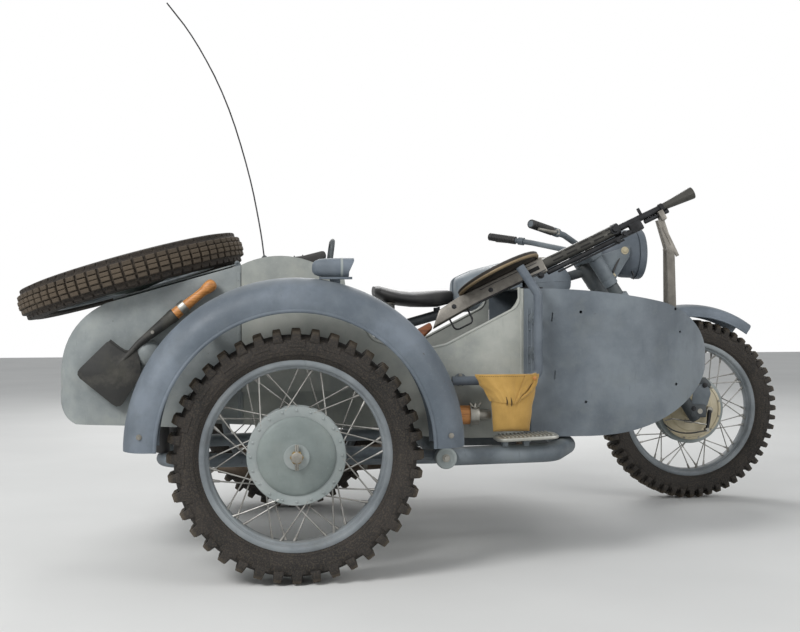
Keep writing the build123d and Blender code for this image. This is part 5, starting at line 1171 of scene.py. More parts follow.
def build_handle_bar():
    meshes = [(lathe_mesh([(0.0, 0.0), (0.0, 0.0198), (0.024, 0.0198), (0.026, 0.018), (0.03, 0.0)],
                          on_steering(0.6864), STEER_UP, 32), TUBE_PAINT)]
    side_line = [(1.0662, 0, 0.9397), (1.0742, -0.09, 0.9457), (0.9602, -0.25, 0.9847),
                 (0.8122, -0.372, 1.0157)]
    for side in (-1, 1):
        line = bend_points([at(x, -y * side, z) for x, y, z in side_line], 0.04)
        meshes.append((tube_mesh(line, 0.0108, 20), TUBE_PAINT))
        start, end = at(0.9054, side * 0.2951, 0.9961), at(0.8122, side * 0.372, 1.0157)
        along, length = (end - start).normalized(), (end - start).length
        grip = [(0.0, 0.011), (0.0005, 0.0155), (0.004, 0.016)]
        for k in range(14):
            u = 0.006 + k * (length - 0.014) / 14
            grip += [(u, 0.0158), (u + 0.0032, 0.0158), (u + 0.0042, 0.0142), (u + 0.0062, 0.0142)]
        grip += [(length - 0.004, 0.016), (length - 0.0005, 0.0145), (length, 0.0)]
        meshes.append((lathe_mesh(grip, start, along, 28), SADDLE_RUBBER))
        pivot = at(0.925, side * 0.284, 0.9935)
        mid, tip = at(0.905, side * 0.322, 0.99), at(0.84, side * 0.3725, 0.998)
        meshes.append((tube_mesh([pivot, mid, tip], [0.0065, 0.0058, 0.0048], 12, smooth=1), BARE_STEEL))
        bolt_through = lathe_mesh(drum(0.012, 0.018), pivot - Vector((0, 0, 0.009)), (0, 0, 1), 20)
        meshes.append((bolt_through, BARE_STEEL))
        meshes.append((lathe_mesh([(0.0, 0.011), (0.0, 0.0155), (0.022, 0.0155), (0.022, 0.011)],
                                  at(0.933, side * 0.2725, 0.9905), (-0.765, side * 0.63, 0.16), 24,
                                  closed=True), TUBE_PAINT))
    make("handle_bar", "steering", "handlebar", meshes)


build_fork()
build_brake_plate()
build_head_lamp()
build_handle_bar()


def build_engine_unit():
    """Frame, crankcase, cylinders, gearbox, intake, exhaust, final drive and rear shock absorbers."""
    frame_tubes = soft_copy("bike_frame", 0.0012)
    make("tube_frame", "chassis", "bike_frame", [(frame_tubes, DARK_PAINT)], sharp=40)

    case = soft_copy("engine", 0.006, 3)
    ring = lathe_mesh([(0.0, 0.0), (0.0, 0.06), (0.0045, 0.058), (0.006, 0.05), (0.006, 0.0)],
                      at(0.902, 0, 0.4), (1, 0, 0), 48)
    places = [at(0.903, 0.066 * math.cos(a), 0.4 + 0.066 * math.sin(a))
              for a in (math.radians(30 + 60 * k) for k in range(6))]
    heads = bolts_mesh(places, (1, 0, 0), 0.0045, 0.004)
    sump = bolts_mesh([at(x, side * 0.09, 0.275) for x in (0.66, 0.735, 0.81, 0.855) for side in (-1, 1)],
                      (0, 0, -1), 0.004, 0.003)
    make("crankcase", "chassis", "engine",
         [(case, CAST_ALLOY), (ring, CAST_ALLOY), (heads, BARE_STEEL), (sump, BARE_STEEL)])

    meshes = []
    for side in (-1, 1):
        profile = [(0.1083, 0.0), (0.1083, 0.06), (0.112, 0.06), (0.1125, 0.047)]
        for k in range(7):
            fin = 0.118 + k * 0.016
            profile += [(fin - 0.0005, 0.046), (fin + 0.001, 0.0725), (fin + 0.0018, 0.0738),
                        (fin + 0.0032, 0.0738), (fin + 0.004, 0.0725), (fin + 0.0055, 0.046)]
        profile += [(0.23, 0.046), (0.23, 0.0)]
        barrel = lathe_mesh([(y - 0.1083, r) for y, r in profile], at(0.76, side * 0.1083, 0.4),
                            (0, side, 0), 56)
        meshes.append((barrel, CAST_ALLOY))
        low_y, high_y = sorted((side * 0.2303, side * 0.252))
        head = slab_mesh(at(0.668, low_y, 0.342), at(0.83, high_y, 0.478), 0.01, segments=3)
        meshes.append((head, CAST_ALLOY))
        low_y, high_y = sorted((side * 0.2515, side * 0.2895))
        fin = bmesh.new()
        slab(fin, at(0.677, low_y, 0.35), at(0.6815, high_y, 0.47), bevel=0.0018)
        meshes.append((repeated(fin, 10, CAST_ALLOY, step=(0.0158, 0, 0)), CAST_ALLOY))
        plug = lathe_mesh([(0.0, 0.0), (0.0, 0.013), (0.01, 0.013), (0.01, 0.008), (0.028, 0.007),
                           (0.028, 0.0)], at(0.668, side * 0.241, 0.425), (-0.9, 0, 0.3), 6)
        meshes.append((plug, BARE_STEEL))
        studs = bolts_mesh([at(x, side * 0.2535, z) for x in (0.672, 0.826) for z in (0.352, 0.468)],
                           (0, side, 0), 0.006, 0.006)
        meshes.append((studs, BARE_STEEL))
    make("finned_cylinders", "chassis", "cylinders", meshes)

    box = soft_copy("gearbox", 0.005, 3)
    places = [at(x, -0.0865, z) for x, z in ((0.47, 0.29), (0.6, 0.28), (0.6, 0.44), (0.49, 0.41))]
    covers = bolts_mesh(places, (0, -1, 0), 0.0045, 0.004)
    make("gear_case", "chassis", "gearbox", [(box, CAST_ALLOY), (covers, BARE_STEEL)])

    cleaner = [(0.0, 0.03), (0.0, 0.06), (0.003, 0.0635), (0.012, 0.0638), (0.013, 0.062), (0.016, 0.062),
               (0.017, 0.0638), (0.085, 0.0638), (0.086, 0.062), (0.089, 0.062), (0.09, 0.0638),
               (0.104, 0.0625), (0.109, 0.056), (0.11, 0.02), (0.11, 0.0)]
    meshes = [(lathe_mesh([(0.0, 0.0)] + cleaner, at(0.56, 0, 0.48), (0, 0, 1), 48), DARK_PAINT),
              (lathe_mesh(drum(0.03, 0.024), at(0.56, 0, 0.459), (0, 0, 1), 32), CAST_ALLOY)]
    for side in (-1, 1):
        line = bend_points([at(0.6, side * 0.02, 0.56), at(0.64, side * 0.15, 0.56),
                            at(0.64, side * 0.19, 0.47)], 0.04)
        meshes.append((tube_mesh(line, 0.017, 20), CAST_ALLOY))
        body = [(0.0, 0.0), (0.0, 0.014), (0.006, 0.02), (0.028, 0.021), (0.03, 0.024), (0.036, 0.024),
                (0.038, 0.019), (0.09, 0.019), (0.092, 0.0225), (0.098, 0.0225), (0.1, 0.0)]
        meshes.append((lathe_mesh(body, at(0.64, side * 0.19, 0.38), (0, 0, 1), 28), CAST_ALLOY))
        meshes.append((tube_mesh([at(0.64, side * 0.19, 0.4), at(0.6857, side * 0.19, 0.4)], 0.0148, 20),
                       CAST_ALLOY))
    make("intake_and_carburettors", "chassis", "intake", meshes)

    meshes = []
    for side in (-1, 1):
        line = bend_points([at(0.805, side * 0.258, 0.3417), at(0.805, side * 0.258, 0.2),
                            at(0.56, side * 0.196, 0.2), at(0.33, side * 0.196, 0.208)], 0.06)
        meshes.append((tube_mesh(line, 0.0188, 24), PIPE_STEEL))
        meshes.append((lathe_mesh([(0.0, 0.019), (0.0, 0.026), (0.012, 0.026), (0.012, 0.019)],
                                  at(0.805, side * 0.258, 0.328), (0, 0, 1), 28, closed=True), BARE_STEEL))
        muffler = [(0.0, 0.0), (0.0, 0.022), (0.012, 0.025), (0.04, 0.04), (0.055, 0.0438), (0.535, 0.0438),
                   (0.56, 0.04), (0.625, 0.02), (0.64, 0.0175), (0.64, 0.014), (0.6, 0.0135), (0.6, 0.0)]
        slope = math.radians(3)
        direction = Vector((-math.cos(slope), 0, -math.sin(slope)))
        meshes.append((lathe_mesh(muffler, at(0.38, side * 0.196, 0.206), direction, 40), PIPE_STEEL))
        for u in (0.12, 0.47):
            meshes.append((lathe_mesh([(0.0, 0.0436), (0.001, 0.0439), (0.017, 0.0439), (0.018, 0.0436)],
                                      at(0.38, side * 0.196, 0.206) + direction * u, direction, 40),
                           BARE_STEEL))
    make("exhaust_pipes", "chassis", "exhaust", meshes)

    housing = [(-0.128, 0.0103), (-0.128, 0.04), (-0.124, 0.046), (-0.108, 0.078), (-0.104, 0.088),
               (-0.098, 0.094), (-0.062, 0.1015), (-0.0545, 0.1018), (-0.052, 0.0955), (-0.0412, 0.0955),
               (-0.0412, 0.0103)]
    meshes = [(ring_mesh(housing, 72, matrix=Matrix.Translation(REAR_AXLE)), CAST_ALLOY)]
    rib = bmesh.new()
    slab(rib, (0.045, -0.121, -0.003), (0.088, -0.097, 0.003), bevel=0.002)
    ribs = repeated(rib, 8, CAST_ALLOY, turn=45)
    ribs.transform(Matrix.Translation(REAR_AXLE))
    meshes.append((ribs, CAST_ALLOY))
    meshes.append((tube_mesh([at(0.08, -0.076, 0.342), at(0.4395, -0.076, 0.342)], 0.0139, 20), DARK_PAINT))
    meshes.append((slab_mesh(at(-0.012, -0.133, 0.4), at(0.022, -0.097, 0.4397), 0.004), CAST_ALLOY))
    make("final_drive_case", "chassis", "final_drive", meshes)

    meshes = []
    for side in (-1, 1):
        foot, low, high, top = (at(0.005, side * 0.121, 0.442), at(0.014, side * 0.121, 0.49),
                                at(0.046, side * 0.121, 0.69), at(0.055, side * 0.121, 0.745))
        along = (high - low).normalized()
        meshes.append((tube_mesh([foot, low], 0.0108, 20), BARE_STEEL))
        body = [(0.0, 0.0), (0.0, 0.024), (0.003, 0.0268), (0.095, 0.0268), (0.097, 0.0245),
                (0.101, 0.0245), (0.103, 0.0268), (0.198, 0.0268), (0.202, 0.024), (0.2025, 0.0)]
        meshes.append((lathe_mesh(body, low, along, 36), TUBE_PAINT))
        meshes.append((tube_mesh([high, top], 0.0118, 20), BARE_STEEL))
    make("rear_shock_absorbers", "chassis", "shock_absorbers", meshes)


build_engine_unit()


# Sections across the tank, from its front: x, half width, bottom, top
TANK_STATIONS = [(1.0396, 0.044, 0.804, 0.84), (1.037, 0.06, 0.793, 0.851), (1.023, 0.083, 0.78, 0.867),
                 (1.006, 0.104, 0.768, 0.883), (0.978, 0.117, 0.757, 0.892), (0.95, 0.1285, 0.749, 0.899),
                 (0.87, 0.1335, 0.736, 0.8975), (0.78, 0.137, 0.723, 0.895), (0.725, 0.127, 0.718, 0.8815),
                 (0.67, 0.117, 0.713, 0.867), (0.635, 0.1045, 0.7095, 0.852), (0.61, 0.094, 0.7085, 0.84),
                 (0.602, 0.084, 0.714, 0.832), (0.6005, 0.07, 0.722, 0.822)]
NECK = on_steering(0.625)
SEAT_NODE = at(0.33, 0, 0.64)


def build_seats_and_tank():
    """Petrol tank, both saddles, the pillion's carrier and the springs under the rider's saddle."""
    shell = loft_mesh([oval(*station, 3.2, 40) for station in TANK_STATIONS])
    along = Vector((NECK.x - SEAT_NODE.x, 0, NECK.z - SEAT_NODE.z)).normalized()
    across = Vector((0, 1, 0))
    up = along.cross(across) * -1
    frame_matrix = Matrix((along, across, up)).transposed().to_4x4()
    frame_matrix.translation = NECK
    tunnel = slab_mesh((-1.2, -0.0185, -0.2), (0.2, 0.0185, 0.0185), 0.0, frame_matrix)
    shell = cut(shell, tunnel)
    cap = lathe_mesh([(0.0, 0.0), (0.0, 0.03), (0.01, 0.03), (0.014, 0.0285), (0.018, 0.02), (0.0185, 0.0)],
                     at(0.93, 0, 0.894), (0, 0, 1), 40)
    grip = bmesh.new()
    slab(grip, at(0.9, -0.0045, 0.909), at(0.96, 0.0045, 0.9165), bevel=0.002)
    seams = []
    for side in (-1, 1):
        line = [at(x, side * (half - 0.0006), (bottom + top) / 2)
                for x, half, bottom, top in TANK_STATIONS[1:-2]]
        seams.append((tube_mesh(line, 0.0022, 8, smooth=2), SHEET_PAINT))
    make("petrol_tank", "chassis", "fuel_tank",
         [(shell, SHEET_PAINT), (cap, BARE_STEEL), (mesh_from(grip), BARE_STEEL)] + seams, sharp=45)

    stations = [(0.3015, 0.05, 0.78, 0.8), (0.303, 0.085, 0.772, 0.807), (0.32, 0.112, 0.76, 0.8085),
                (0.352, 0.125, 0.744, 0.8), (0.395, 0.126, 0.735, 0.79), (0.44, 0.118, 0.73, 0.786),
                (0.49, 0.088, 0.729, 0.788), (0.54, 0.058, 0.73, 0.792), (0.58, 0.038, 0.74, 0.7925),
                (0.597, 0.024, 0.75, 0.788), (0.5995, 0.012, 0.758, 0.78)]
    saddle = loft_mesh([oval(*station, 2.5, 36) for station in stations])
    make("rubber_rider_saddle", "chassis", "rider_saddle", [(saddle, SADDLE_RUBBER)])

    outline = [(-0.092, 0.868), (-0.078, 0.902), (0.04, 0.916), (0.118, 0.936), (0.126, 0.912),
               (0.082, 0.848), (-0.082, 0.848)]
    cushion = soften(prism_mesh(outline, -0.112, 0.112), 0.022, 6, 20)
    cushion.transform(ORIGIN)
    ribs = []
    for k in range(5):
        x = -0.05 + k * 0.03
        z = 0.9048 + (x + 0.078) * 0.119
        ribs.append((tube_mesh([at(x, -0.088, z - 0.001), at(x, 0.088, z - 0.001)], 0.0024, 8),
                     SADDLE_RUBBER))
    make("rubber_pillion_saddle", "chassis", "pillion_saddle",
         [(cushion, SADDLE_RUBBER)] + ribs)

    mount = soft_copy("pillion_mount", 0.0012)
    make("pillion_carrier", "chassis", "pillion_mount", [(mount, DARK_PAINT)])

    meshes = [(soft_copy("saddle_mount", 0.0012), DARK_PAINT)]
    for side in (-1, 1):
        coil = [at(0.35 + 0.0215 * math.cos(a), side * 0.078 + 0.0215 * math.sin(a), 0.704 + 0.042 * k / 60)
                for k in range(61) for a in (2 * math.pi * 5 * k / 60,)]
        meshes.append((tube_mesh(coil, 0.0034, 8), BARE_STEEL))
    make("saddle_springs", "chassis", "saddle_mount", meshes)


build_seats_and_tank()


def pivot_cap():
    """The pressed cap with its bolt on the swing arm's pivot, and the small bracket above it."""
    centre = at(0.41, -1.0805, 0.319)
    cap = [(0.0, 0.0), (0.0, 0.0292), (0.002, 0.03), (0.006, 0.03), (0.0085, 0.028), (0.009, 0.0215),
           (0.0065, 0.0195), (0.0062, 0.011), (0.0062, 0.0)]
    parts = [(lathe_mesh(cap, centre, (0, -1, 0), 48), HUB_PAINT),
             (bolts_mesh([centre + Vector((0, -0.0062, 0))], (0, -1, 0), 0.0075, 0.005), BARE_STEEL)]
    parts.append((slab_mesh(at(0.398, -1.076, 0.346), at(0.424, -1.06, 0.3655), 0.003), TUBE_PAINT))
    return parts


def wing_nut():
    """The wing nut that closes the long tool's band, with its bolt."""
    foot = at(0.5025, -1.013, 0.448)
    parts = [(lathe_mesh([(0.0, 0.0), (0.0, 0.007), (0.007, 0.006), (0.007, 0.0032), (0.017, 0.0032),
                          (0.017, 0.0)], foot, (0, -0.6, 1), 16), BARE_STEEL)]
    for side in (-1, 1):
        wing = tube_mesh([foot + Vector((side * 0.004, -0.003, 0.004)),
                          foot + Vector((side * 0.013, -0.006, 0.012)),
                          foot + Vector((side * 0.015, -0.008, 0.017))], [0.0026, 0.0036, 0.0022], 8,
                         smooth=1)
        parts.append((wing, BARE_STEEL))
    return parts


def build_sidecar_gear():
    """Chassis parts softened from the CAD, then footrests, marker lamp, hand rail and tread plate."""
    for name, node, body, slot, material, width in (
        ("sidecar_tubes", "sidecar_frame", "chassis", "frame_paint", TUBE_PAINT, 0.002),
        ("sidecar_stays", "sidecar_struts", "chassis", "frame_paint", TUBE_PAINT, 0.001),
        ("rubber_mounts", "body_mounts", "chassis", "saddle_rubber", SADDLE_RUBBER, 0.003),
        ("sidecar_swing_arm", "sidecar_arm", "chassis", "frame_paint", TUBE_PAINT, 0.003),
        ("rear_swing_arm", "swing_arm", "chassis", "frame_paint", DARK_PAINT, 0.002),
        ("wheel_shaft", "sidecar_shaft", "sidecar_wheel_body", "bare_steel", BARE_STEEL, 0.001),
        ("spare_stud", "spare_carrier", "lid_body", "bare_steel", BARE_STEEL, 0.002),
        ("stand", "centre_stand", "stand_body", "frame_paint", DARK_PAINT, 0.0015),
        ("lid_hinges", "lid_hinge", "chassis", "bare_steel", TUBE_PAINT, 0.0008),
        ("luggage_lid", "trunk_lid", "lid_body", "sheet_paint", HALF_SUNLIT_TRUNK_PAINT, 0.003),
        ("gun_post", "gun_mount", "chassis", "bare_steel", DARK_STEEL, 0.0015),
        ("tool_bands", "tool_clamps", "chassis", "bare_steel", BARE_STEEL, 0.0012),
    ):
        meshes = [(soft_copy(node, width), material)]
        if node == "sidecar_frame":
            meshes += pivot_cap()
        if node == "tool_clamps":
            meshes += wing_nut()
        make(name, body, node, meshes, sharp=38)

    meshes = []
    for side in (-1, 1):
        profile = [(0.0, 0.0), (0.0, 0.0145), (0.003, 0.015)]
        for k in range(5):
            profile += [(0.006 + k * 0.007, 0.015), (0.01 + k * 0.007, 0.015), (0.0105 + k * 0.007, 0.0132),
                        (0.0125 + k * 0.007, 0.0132)]
        profile += [(0.0435, 0.015), (0.0445, 0.013), (0.0447, 0.0)]
        meshes.append((lathe_mesh(profile, at(0.56, side * 0.1303, 0.24), (0, side, 0), 28), SADDLE_RUBBER))
    make("footrest_rubbers", "chassis", "footrests", meshes)

    crown = GUARD_CENTRE + GUARD_CROWN
    rows = [(0.0425, 0.004, 0.02, 0.026), (0.044, 0.011, 0.013, 0.036), (0.05, 0.0175, 0.006, 0.043),
            (0.062, 0.0225, 0.0015, 0.048), (0.08, 0.025, 0.0, 0.05), (0.105, 0.0262, -0.001, 0.0508),
            (0.13, 0.0268, -0.0012, 0.051), (0.14, 0.0269, -0.0012, 0.051)]
    sections = [oval(x, half, crown + low, crown + high, 2.4, 36) for x, half, low, high in rows]
    for section in sections:
        for point in section:
            point.y -= 1.13
    front = [point.copy() for point in sections[-1]]
    for point in front:
        point.x += 0.014 * min(max((point.z - crown - 0.012) / 0.03, 0), 1)
    inner = [point.lerp(at(0.146, -1.13, crown + 0.025), 0.1) for point in front]
    deep = [point + Vector((-0.012, 0, 0)) for point in inner]
    shell = loft_mesh(sections + [front, inner, deep])
    lens = lathe_mesh([(0.0, 0.0), (0.0, 0.022), (0.003, 0.019), (0.0045, 0.01), (0.005, 0.0)],
                      at(0.1345, -1.13, crown + 0.024), (1, 0, 0), 32)
    band = loft_mesh([oval(x, 0.0275, crown - 0.0016, crown + 0.0515, 2.4, 36)
                      for x in (0.118, 0.1186, 0.124, 0.1246)])
    band.transform(Matrix.Translation((0, -1.13, 0)))
    foot = slab_mesh(at(0.09, -1.137, crown - 0.0175), at(0.118, -1.123, crown + 0.006), 0.002)
    plinth = rounded_box(0.062, 0.15, -1.15, -1.11, crown - 0.0058, crown + 0.0004, 0.016)
    plinth.transform(ORIGIN)
    make("side_marker_lamp", "chassis", "marker_lamp",
         [(shell, GUARD_PAINT), (band, HUB_PAINT), (lens, GLASS_WITH_PAINTED_REFLECTION), (foot, GUARD_PAINT),
          (plinth, GUARD_PAINT)], sharp=50)

    line = bend_points([at(0.64, -0.98, 0.848), at(0.688, -1.0, 0.77), at(0.688, -1.0, 0.54),
                        at(0.64, -1.0, 0.525), at(0.44, -1.0, 0.525)], [0.034, 0.022, 0.034])
    meshes = [(tube_mesh(line, 0.0128, 24), LAMP_PAINT)]
    for x, z in ((0.688, 0.7), (0.688, 0.6), (0.47, 0.525)):
        meshes.append((tube_mesh([at(x, -1.0, z), at(x, BODY_OUTER - 0.0004, z)], 0.0088, 16), TUBE_PAINT))
        flange = lathe_mesh([(0.0, 0.0), (0.0, 0.019), (0.003, 0.0185), (0.0035, 0.0)],
                            at(x, BODY_OUTER - 0.0004, z), (0, -1, 0), 28)
        meshes.append((flange, TUBE_PAINT))
        places = [at(x, BODY_OUTER - 0.0036, z + rise) for rise in (0.0135, -0.0135)]
        meshes.append((bolts_mesh(places, (0, -1, 0), 0.0036, 0.003), BARE_STEEL))
    make("hand_rail", "chassis", "grab_rail", meshes)

    tilt = Matrix.Translation(at(0.64, -1.052, 0.372)) @ Matrix.Rotation(math.radians(-2.6), 4, "Y")
    plate = rounded_box(-0.0878, 0.0878, -0.0518, 0.0518, -0.0068, 0.003, 0.03)
    plate = soften(plate, 0.003, 3, 40)
    plate.transform(tilt)
    rib = bmesh.new()
    slab(rib, (-0.07, -0.0465, 0.0028), (-0.066, 0.0465, 0.0066), bevel=0.0012)
    ribs = repeated(rib, 13, CAST_ALLOY, step=(0.0112, 0, 0))
    ribs.transform(tilt)
    feet = [(slab_mesh(at(x - 0.008, -1.064, 0.332), at(x + 0.008, -1.04, 0.368), 0.002), TUBE_PAINT)
            for x in (0.58, 0.64)]
    make("tread_plate", "chassis", "step_plate",
         [(plate, STEP_ALLOY), (ribs, STEP_ALLOY)] + feet, sharp=40)


build_sidecar_gear()


# Carried things

def dished_plate(outline, centre, y, thick, rings=7, dish=0.006):
    """Pressed sheet seen from the side, its middle standing out and its edge a plain thickness."""
    bm = bmesh.new()
    cx, cz = centre
    layers = []
    for near in (True, False):
        rows = []
        for i in range(rings + 1):
            share = 1 - i / rings
            out = dish * (1 - share ** 2)
            face = y - out if near else y - out + thick
            if share > 0:
                rows.append([bm.verts.new(at(cx + (u - cx) * share, face, cz + (v - cz) * share))
                             for u, v in outline])
        rows.append([bm.verts.new(at(cx, y - dish + (0 if near else thick), cz))] * len(outline))
        grid_faces(bm, rows, closed_columns=True)
        layers.append(rows[0])
    grid_faces(bm, layers, closed_columns=True)
    return mesh_from(bm)


BAG_BACK = -1.0335
BAG_LEFT = [(0.545, 0.499), (0.519, 0.511), (0.49, 0.534), (0.466, 0.546), (0.42, 0.549), (0.384, 0.551)]
BAG_RIGHT = [(0.545, 0.683), (0.5, 0.672), (0.444, 0.662), (0.384, 0.655)]


def along_curve(points, z):
    """The x of a bag's edge at a height, from (z, x) points that go down."""
    for (z0, x0), (z1, x1) in zip(points, points[1:]):
        if z >= z1:
            share = min(max((z0 - z) / (z0 - z1), 0), 1)
            share = share * share * (3 - 2 * share)
            return x0 + (x1 - x0) * share
    return points[-1][1]


def bag_front(x, z):
    """How far the stuffed canvas stands out: slack at the rail, fullest low down, with soft folds."""
    left, right = along_curve(BAG_LEFT, z), along_curve(BAG_RIGHT, z)
    across = (x - left) / (right - left) * 2 - 1
    drop = min(max((0.545 - z) / 0.161, 0), 1)
    full = 0.0065 + 0.014 * math.sin(math.pi * min(drop * 0.86 + 0.1, 1)) ** 0.8
    folds = 0.0016 * math.sin(34 * across * (0.4 + drop) + 3 * drop) * (1 - drop * 0.5)
    folds += 0.0011 * math.sin(46 * (x - 0.5) * 3 + 70 * (z - 0.4))
    return full * max(1 - abs(across) ** 3.2, 0) ** 0.6 + folds * (1 - across * across)


def border(grid):
    """The outer points of a grid, in order round it."""
    return (grid[0] + [row[-1] for row in grid[1:]] + grid[-1][-2::-1]
            + [row[0] for row in grid[-2:0:-1]])


def bag_sheet(corners, lift, columns=26, rows=22, thick=0.0022):
    """A piece of canvas laid on the bag's face between four (x, z) corners, its far side closed."""
    bm = bmesh.new()
    layers = []
    for depth in (lift + thick, lift):
        grid = []
        for i in range(rows + 1):
            line = []
            for j in range(columns + 1):
                u, v = j / columns, i / rows
                top = [corners[0][k] * (1 - u) + corners[1][k] * u for k in (0, 1)]
                foot = [corners[3][k] * (1 - u) + corners[2][k] * u for k in (0, 1)]
                x, z = (top[k] * (1 - v) + foot[k] * v for k in (0, 1))
                edge = min(u, 1 - u, v, 1 - v)
                puff = 0.0012 * min(edge * 8, 1)
                line.append(bm.verts.new(at(x, BAG_BACK - max(bag_front(x, z), 0.003) - depth - puff, z)))
            grid.append(line)
        layers.append(grid)
    front, back = layers
    grid_faces(bm, front)
    grid_faces(bm, back)
    grid_faces(bm, [border(front), border(back)], closed_columns=True)
    return mesh_from(bm)


def build_bag():
    """A canvas tool bag that hangs from the rail: folded over it at the top, stuffed below."""
    rings = []
    rows, half = 44, 30
    for i in range(rows + 1):
        z = 0.545 - 0.161 * i / rows
        left, right = along_curve(BAG_LEFT, z), along_curve(BAG_RIGHT, z)
        close = min(i / 3, (rows - i) / 3, 1)
        close = math.sqrt(max(1 - (1 - close) ** 2, 0.02))
        front, back = [], []
        for j in range(half + 1):
            x = left + (right - left) * j / half
            out = bag_front(x, z) * close
            front.append(at(x, BAG_BACK - out, z))
            if 0 < j < half:
                back.append(at(x, BAG_BACK + min(max(out, 0.001) * 0.9, 0.018), z))
        rings.append(front + back[::-1])
    shell = loft_mesh(rings)
    flap = bag_sheet([(0.502, 0.5435), (0.652, 0.544), (0.606, 0.462), (0.54, 0.47)], 0.0006)
    fold = bag_sheet([(0.64, 0.544), (0.681, 0.544), (0.64, 0.5), (0.604, 0.458)], 0.0034)
    roll = tube_mesh([at(0.664, -1.0455, 0.5465), at(0.6705, -1.044, 0.52), at(0.648, -1.05, 0.493),
                      at(0.611, -1.056, 0.468)], [0.0088, 0.008, 0.0058, 0.0026], 14, smooth=2)
    dowel = lathe_mesh([(0.0, 0.0), (0.0, 0.0052), (0.005, 0.0052), (0.0065, 0.004), (0.0068, 0.0)],
                       at(0.665, -1.052, 0.534), (0.15, -1, 0.1), 20)
    pieces = [(cloth, KHAKI_CANVAS) for cloth in (shell, flap, fold, roll)] + [(dowel, HANDLE_WOOD)]
    for x, z in ((0.586, 0.47), (0.599, 0.468)):
        slit = [at(x + dx, BAG_BACK - bag_front(x, z) - 0.0042, z + dz)
                for dx, dz in ((-0.002, 0.013), (0.001, 0.0), (0.0, -0.012))]
        pieces.append((tube_mesh(slit, [0.0007, 0.0015, 0.0007], 8, smooth=1), HOLE_BLACK))
    stitch = bmesh.new()
    z = 0.5395
    for x in (0.512 + 0.0062 * k for k in range(22)):
        y = BAG_BACK - max(bag_front(x, z), 0.003) - 0.0041
        slab(stitch, (-0.0018, -0.0004, -0.0004), (0.0018, 0.0004, 0.0004), Matrix.Translation(at(x, y, z)))
    pieces.append((mesh_from(stitch), HOLE_BLACK))
    make("canvas_tool_bag", "chassis", "canvas_bag", pieces, sharp=55)


def build_carried():
    """Canvas bag, shovel, the long tool in its clamp and the whip aerial."""
    build_bag()
    start, end = at(-0.221, -0.983, 0.805), at(-0.33, -0.983, 0.716)
    along = (end - start).normalized()
    length = (end - start).length
    grip = [(0.0, 0.0), (0.0008, 0.007), (0.004, 0.0125), (0.01, 0.0162), (0.02, 0.017), (0.03, 0.0158),
            (0.04, 0.0132), (0.052, 0.0124), (0.08, 0.0134), (0.11, 0.0152), (length, 0.0164),
            (length, 0.0)]
    make("shovel_wood", "chassis", "shovel_handle",
         [(lathe_mesh(grip, start, along, 32), HANDLE_WOOD)])

    socket_end = at(-0.43, -0.983, 0.634)
    start = at(-0.3305, -0.983, 0.7156)
    along = (socket_end - start).normalized()
    length = (socket_end - start).length
    cone = lathe_mesh([(0.0, 0.0), (0.0, 0.0182), (0.003, 0.019), (0.014, 0.0186), (0.016, 0.0175),
                       (length, 0.0098), (length, 0.0)], start, along, 32)
    blade_outline = [(-0.4375, 0.63), (-0.45, 0.6165), (-0.46, 0.613), (-0.47, 0.616), (-0.498, 0.641),
                     (-0.506, 0.644), (-0.515, 0.64), (-0.586, 0.57), (-0.593, 0.56), (-0.5935, 0.551),
                     (-0.587, 0.541), (-0.501, 0.469), (-0.49, 0.4625), (-0.48, 0.464), (-0.472, 0.471),
                     (-0.432, 0.534), (-0.425, 0.55), (-0.424, 0.565), (-0.428, 0.6)]
    blade = dished_plate(blade_outline, (-0.502, 0.56), -0.9858, 0.0026)
    tread = tube_mesh([at(-0.456, -0.9865, 0.614), at(-0.47, -0.9872, 0.616), at(-0.506, -0.9872, 0.645)],
                      0.0034, 10, smooth=1)
    rib = tube_mesh([socket_end, at(-0.46, -0.985, 0.602), at(-0.49, -0.9858, 0.572)],
                    [0.0098, 0.0075, 0.003], 16)
    rivets = bolts_mesh([at(-0.39, -0.999, 0.667)], (0, -1, 0), 0.0032, 0.0016)
    make("shovel_steel", "chassis", "shovel_blade",
         [(mesh, SHOVEL_STEEL) for mesh in (cone, blade, rib, tread)] + [(rivets, BARE_STEEL)])

    wood = [(0.0, 0.0), (0.001, 0.016), (0.004, 0.0235), (0.012, 0.0266), (0.11, 0.0268), (0.121, 0.0255),
            (0.125, 0.02), (0.125, 0.0)]
    stub = [(0.0, 0.0), (0.0, 0.0158), (0.03, 0.0158), (0.0345, 0.013), (0.035, 0.0)]
    make("tool_wood", "chassis", "tool_handle",
         [(lathe_mesh(wood, at(0.392, -0.994, 0.428), (1, 0, 0), 36), HANDLE_WOOD),
          (lathe_mesh(stub, at(0.517, -0.994, 0.428), (1, 0, 0), 28), BARE_STEEL)])

    whip = [at(x, -0.462, z) for x, z in ((-0.092, 0.89), (-0.103, 0.98), (-0.139, 1.168),
                                          (-0.212, 1.408), (-0.312, 1.6), (-0.4, 1.7118))]
    base = lathe_mesh([(0.0, 0.0), (0.0, 0.0138), (0.006, 0.0138), (0.008, 0.01), (0.026, 0.0095),
                       (0.03, 0.006), (0.034, 0.0)], at(-0.0903, -0.462, 0.8695), (-0.05, 0, 1), 28)
    make("whip_aerial", "chassis", "aerial",
         [(tube_mesh(whip, 0.0024, 8, smooth=2), DARK_STEEL), (base, DARK_PAINT)])


build_carried()


GUN = (ORIGIN @ Matrix.Translation((0.742, -0.85, 0.855)) @ Matrix.Rotation(math.radians(-25.4), 4, "Y")
       @ Matrix.Rotation(math.radians(-12), 4, "X"))


def in_gun(mesh):
    mesh.transform(GUN)
    return mesh


def gun_lathe(profile, start, along=(1, 0, 0), steps=36):
    return in_gun(lathe_mesh(profile, start, along, steps))


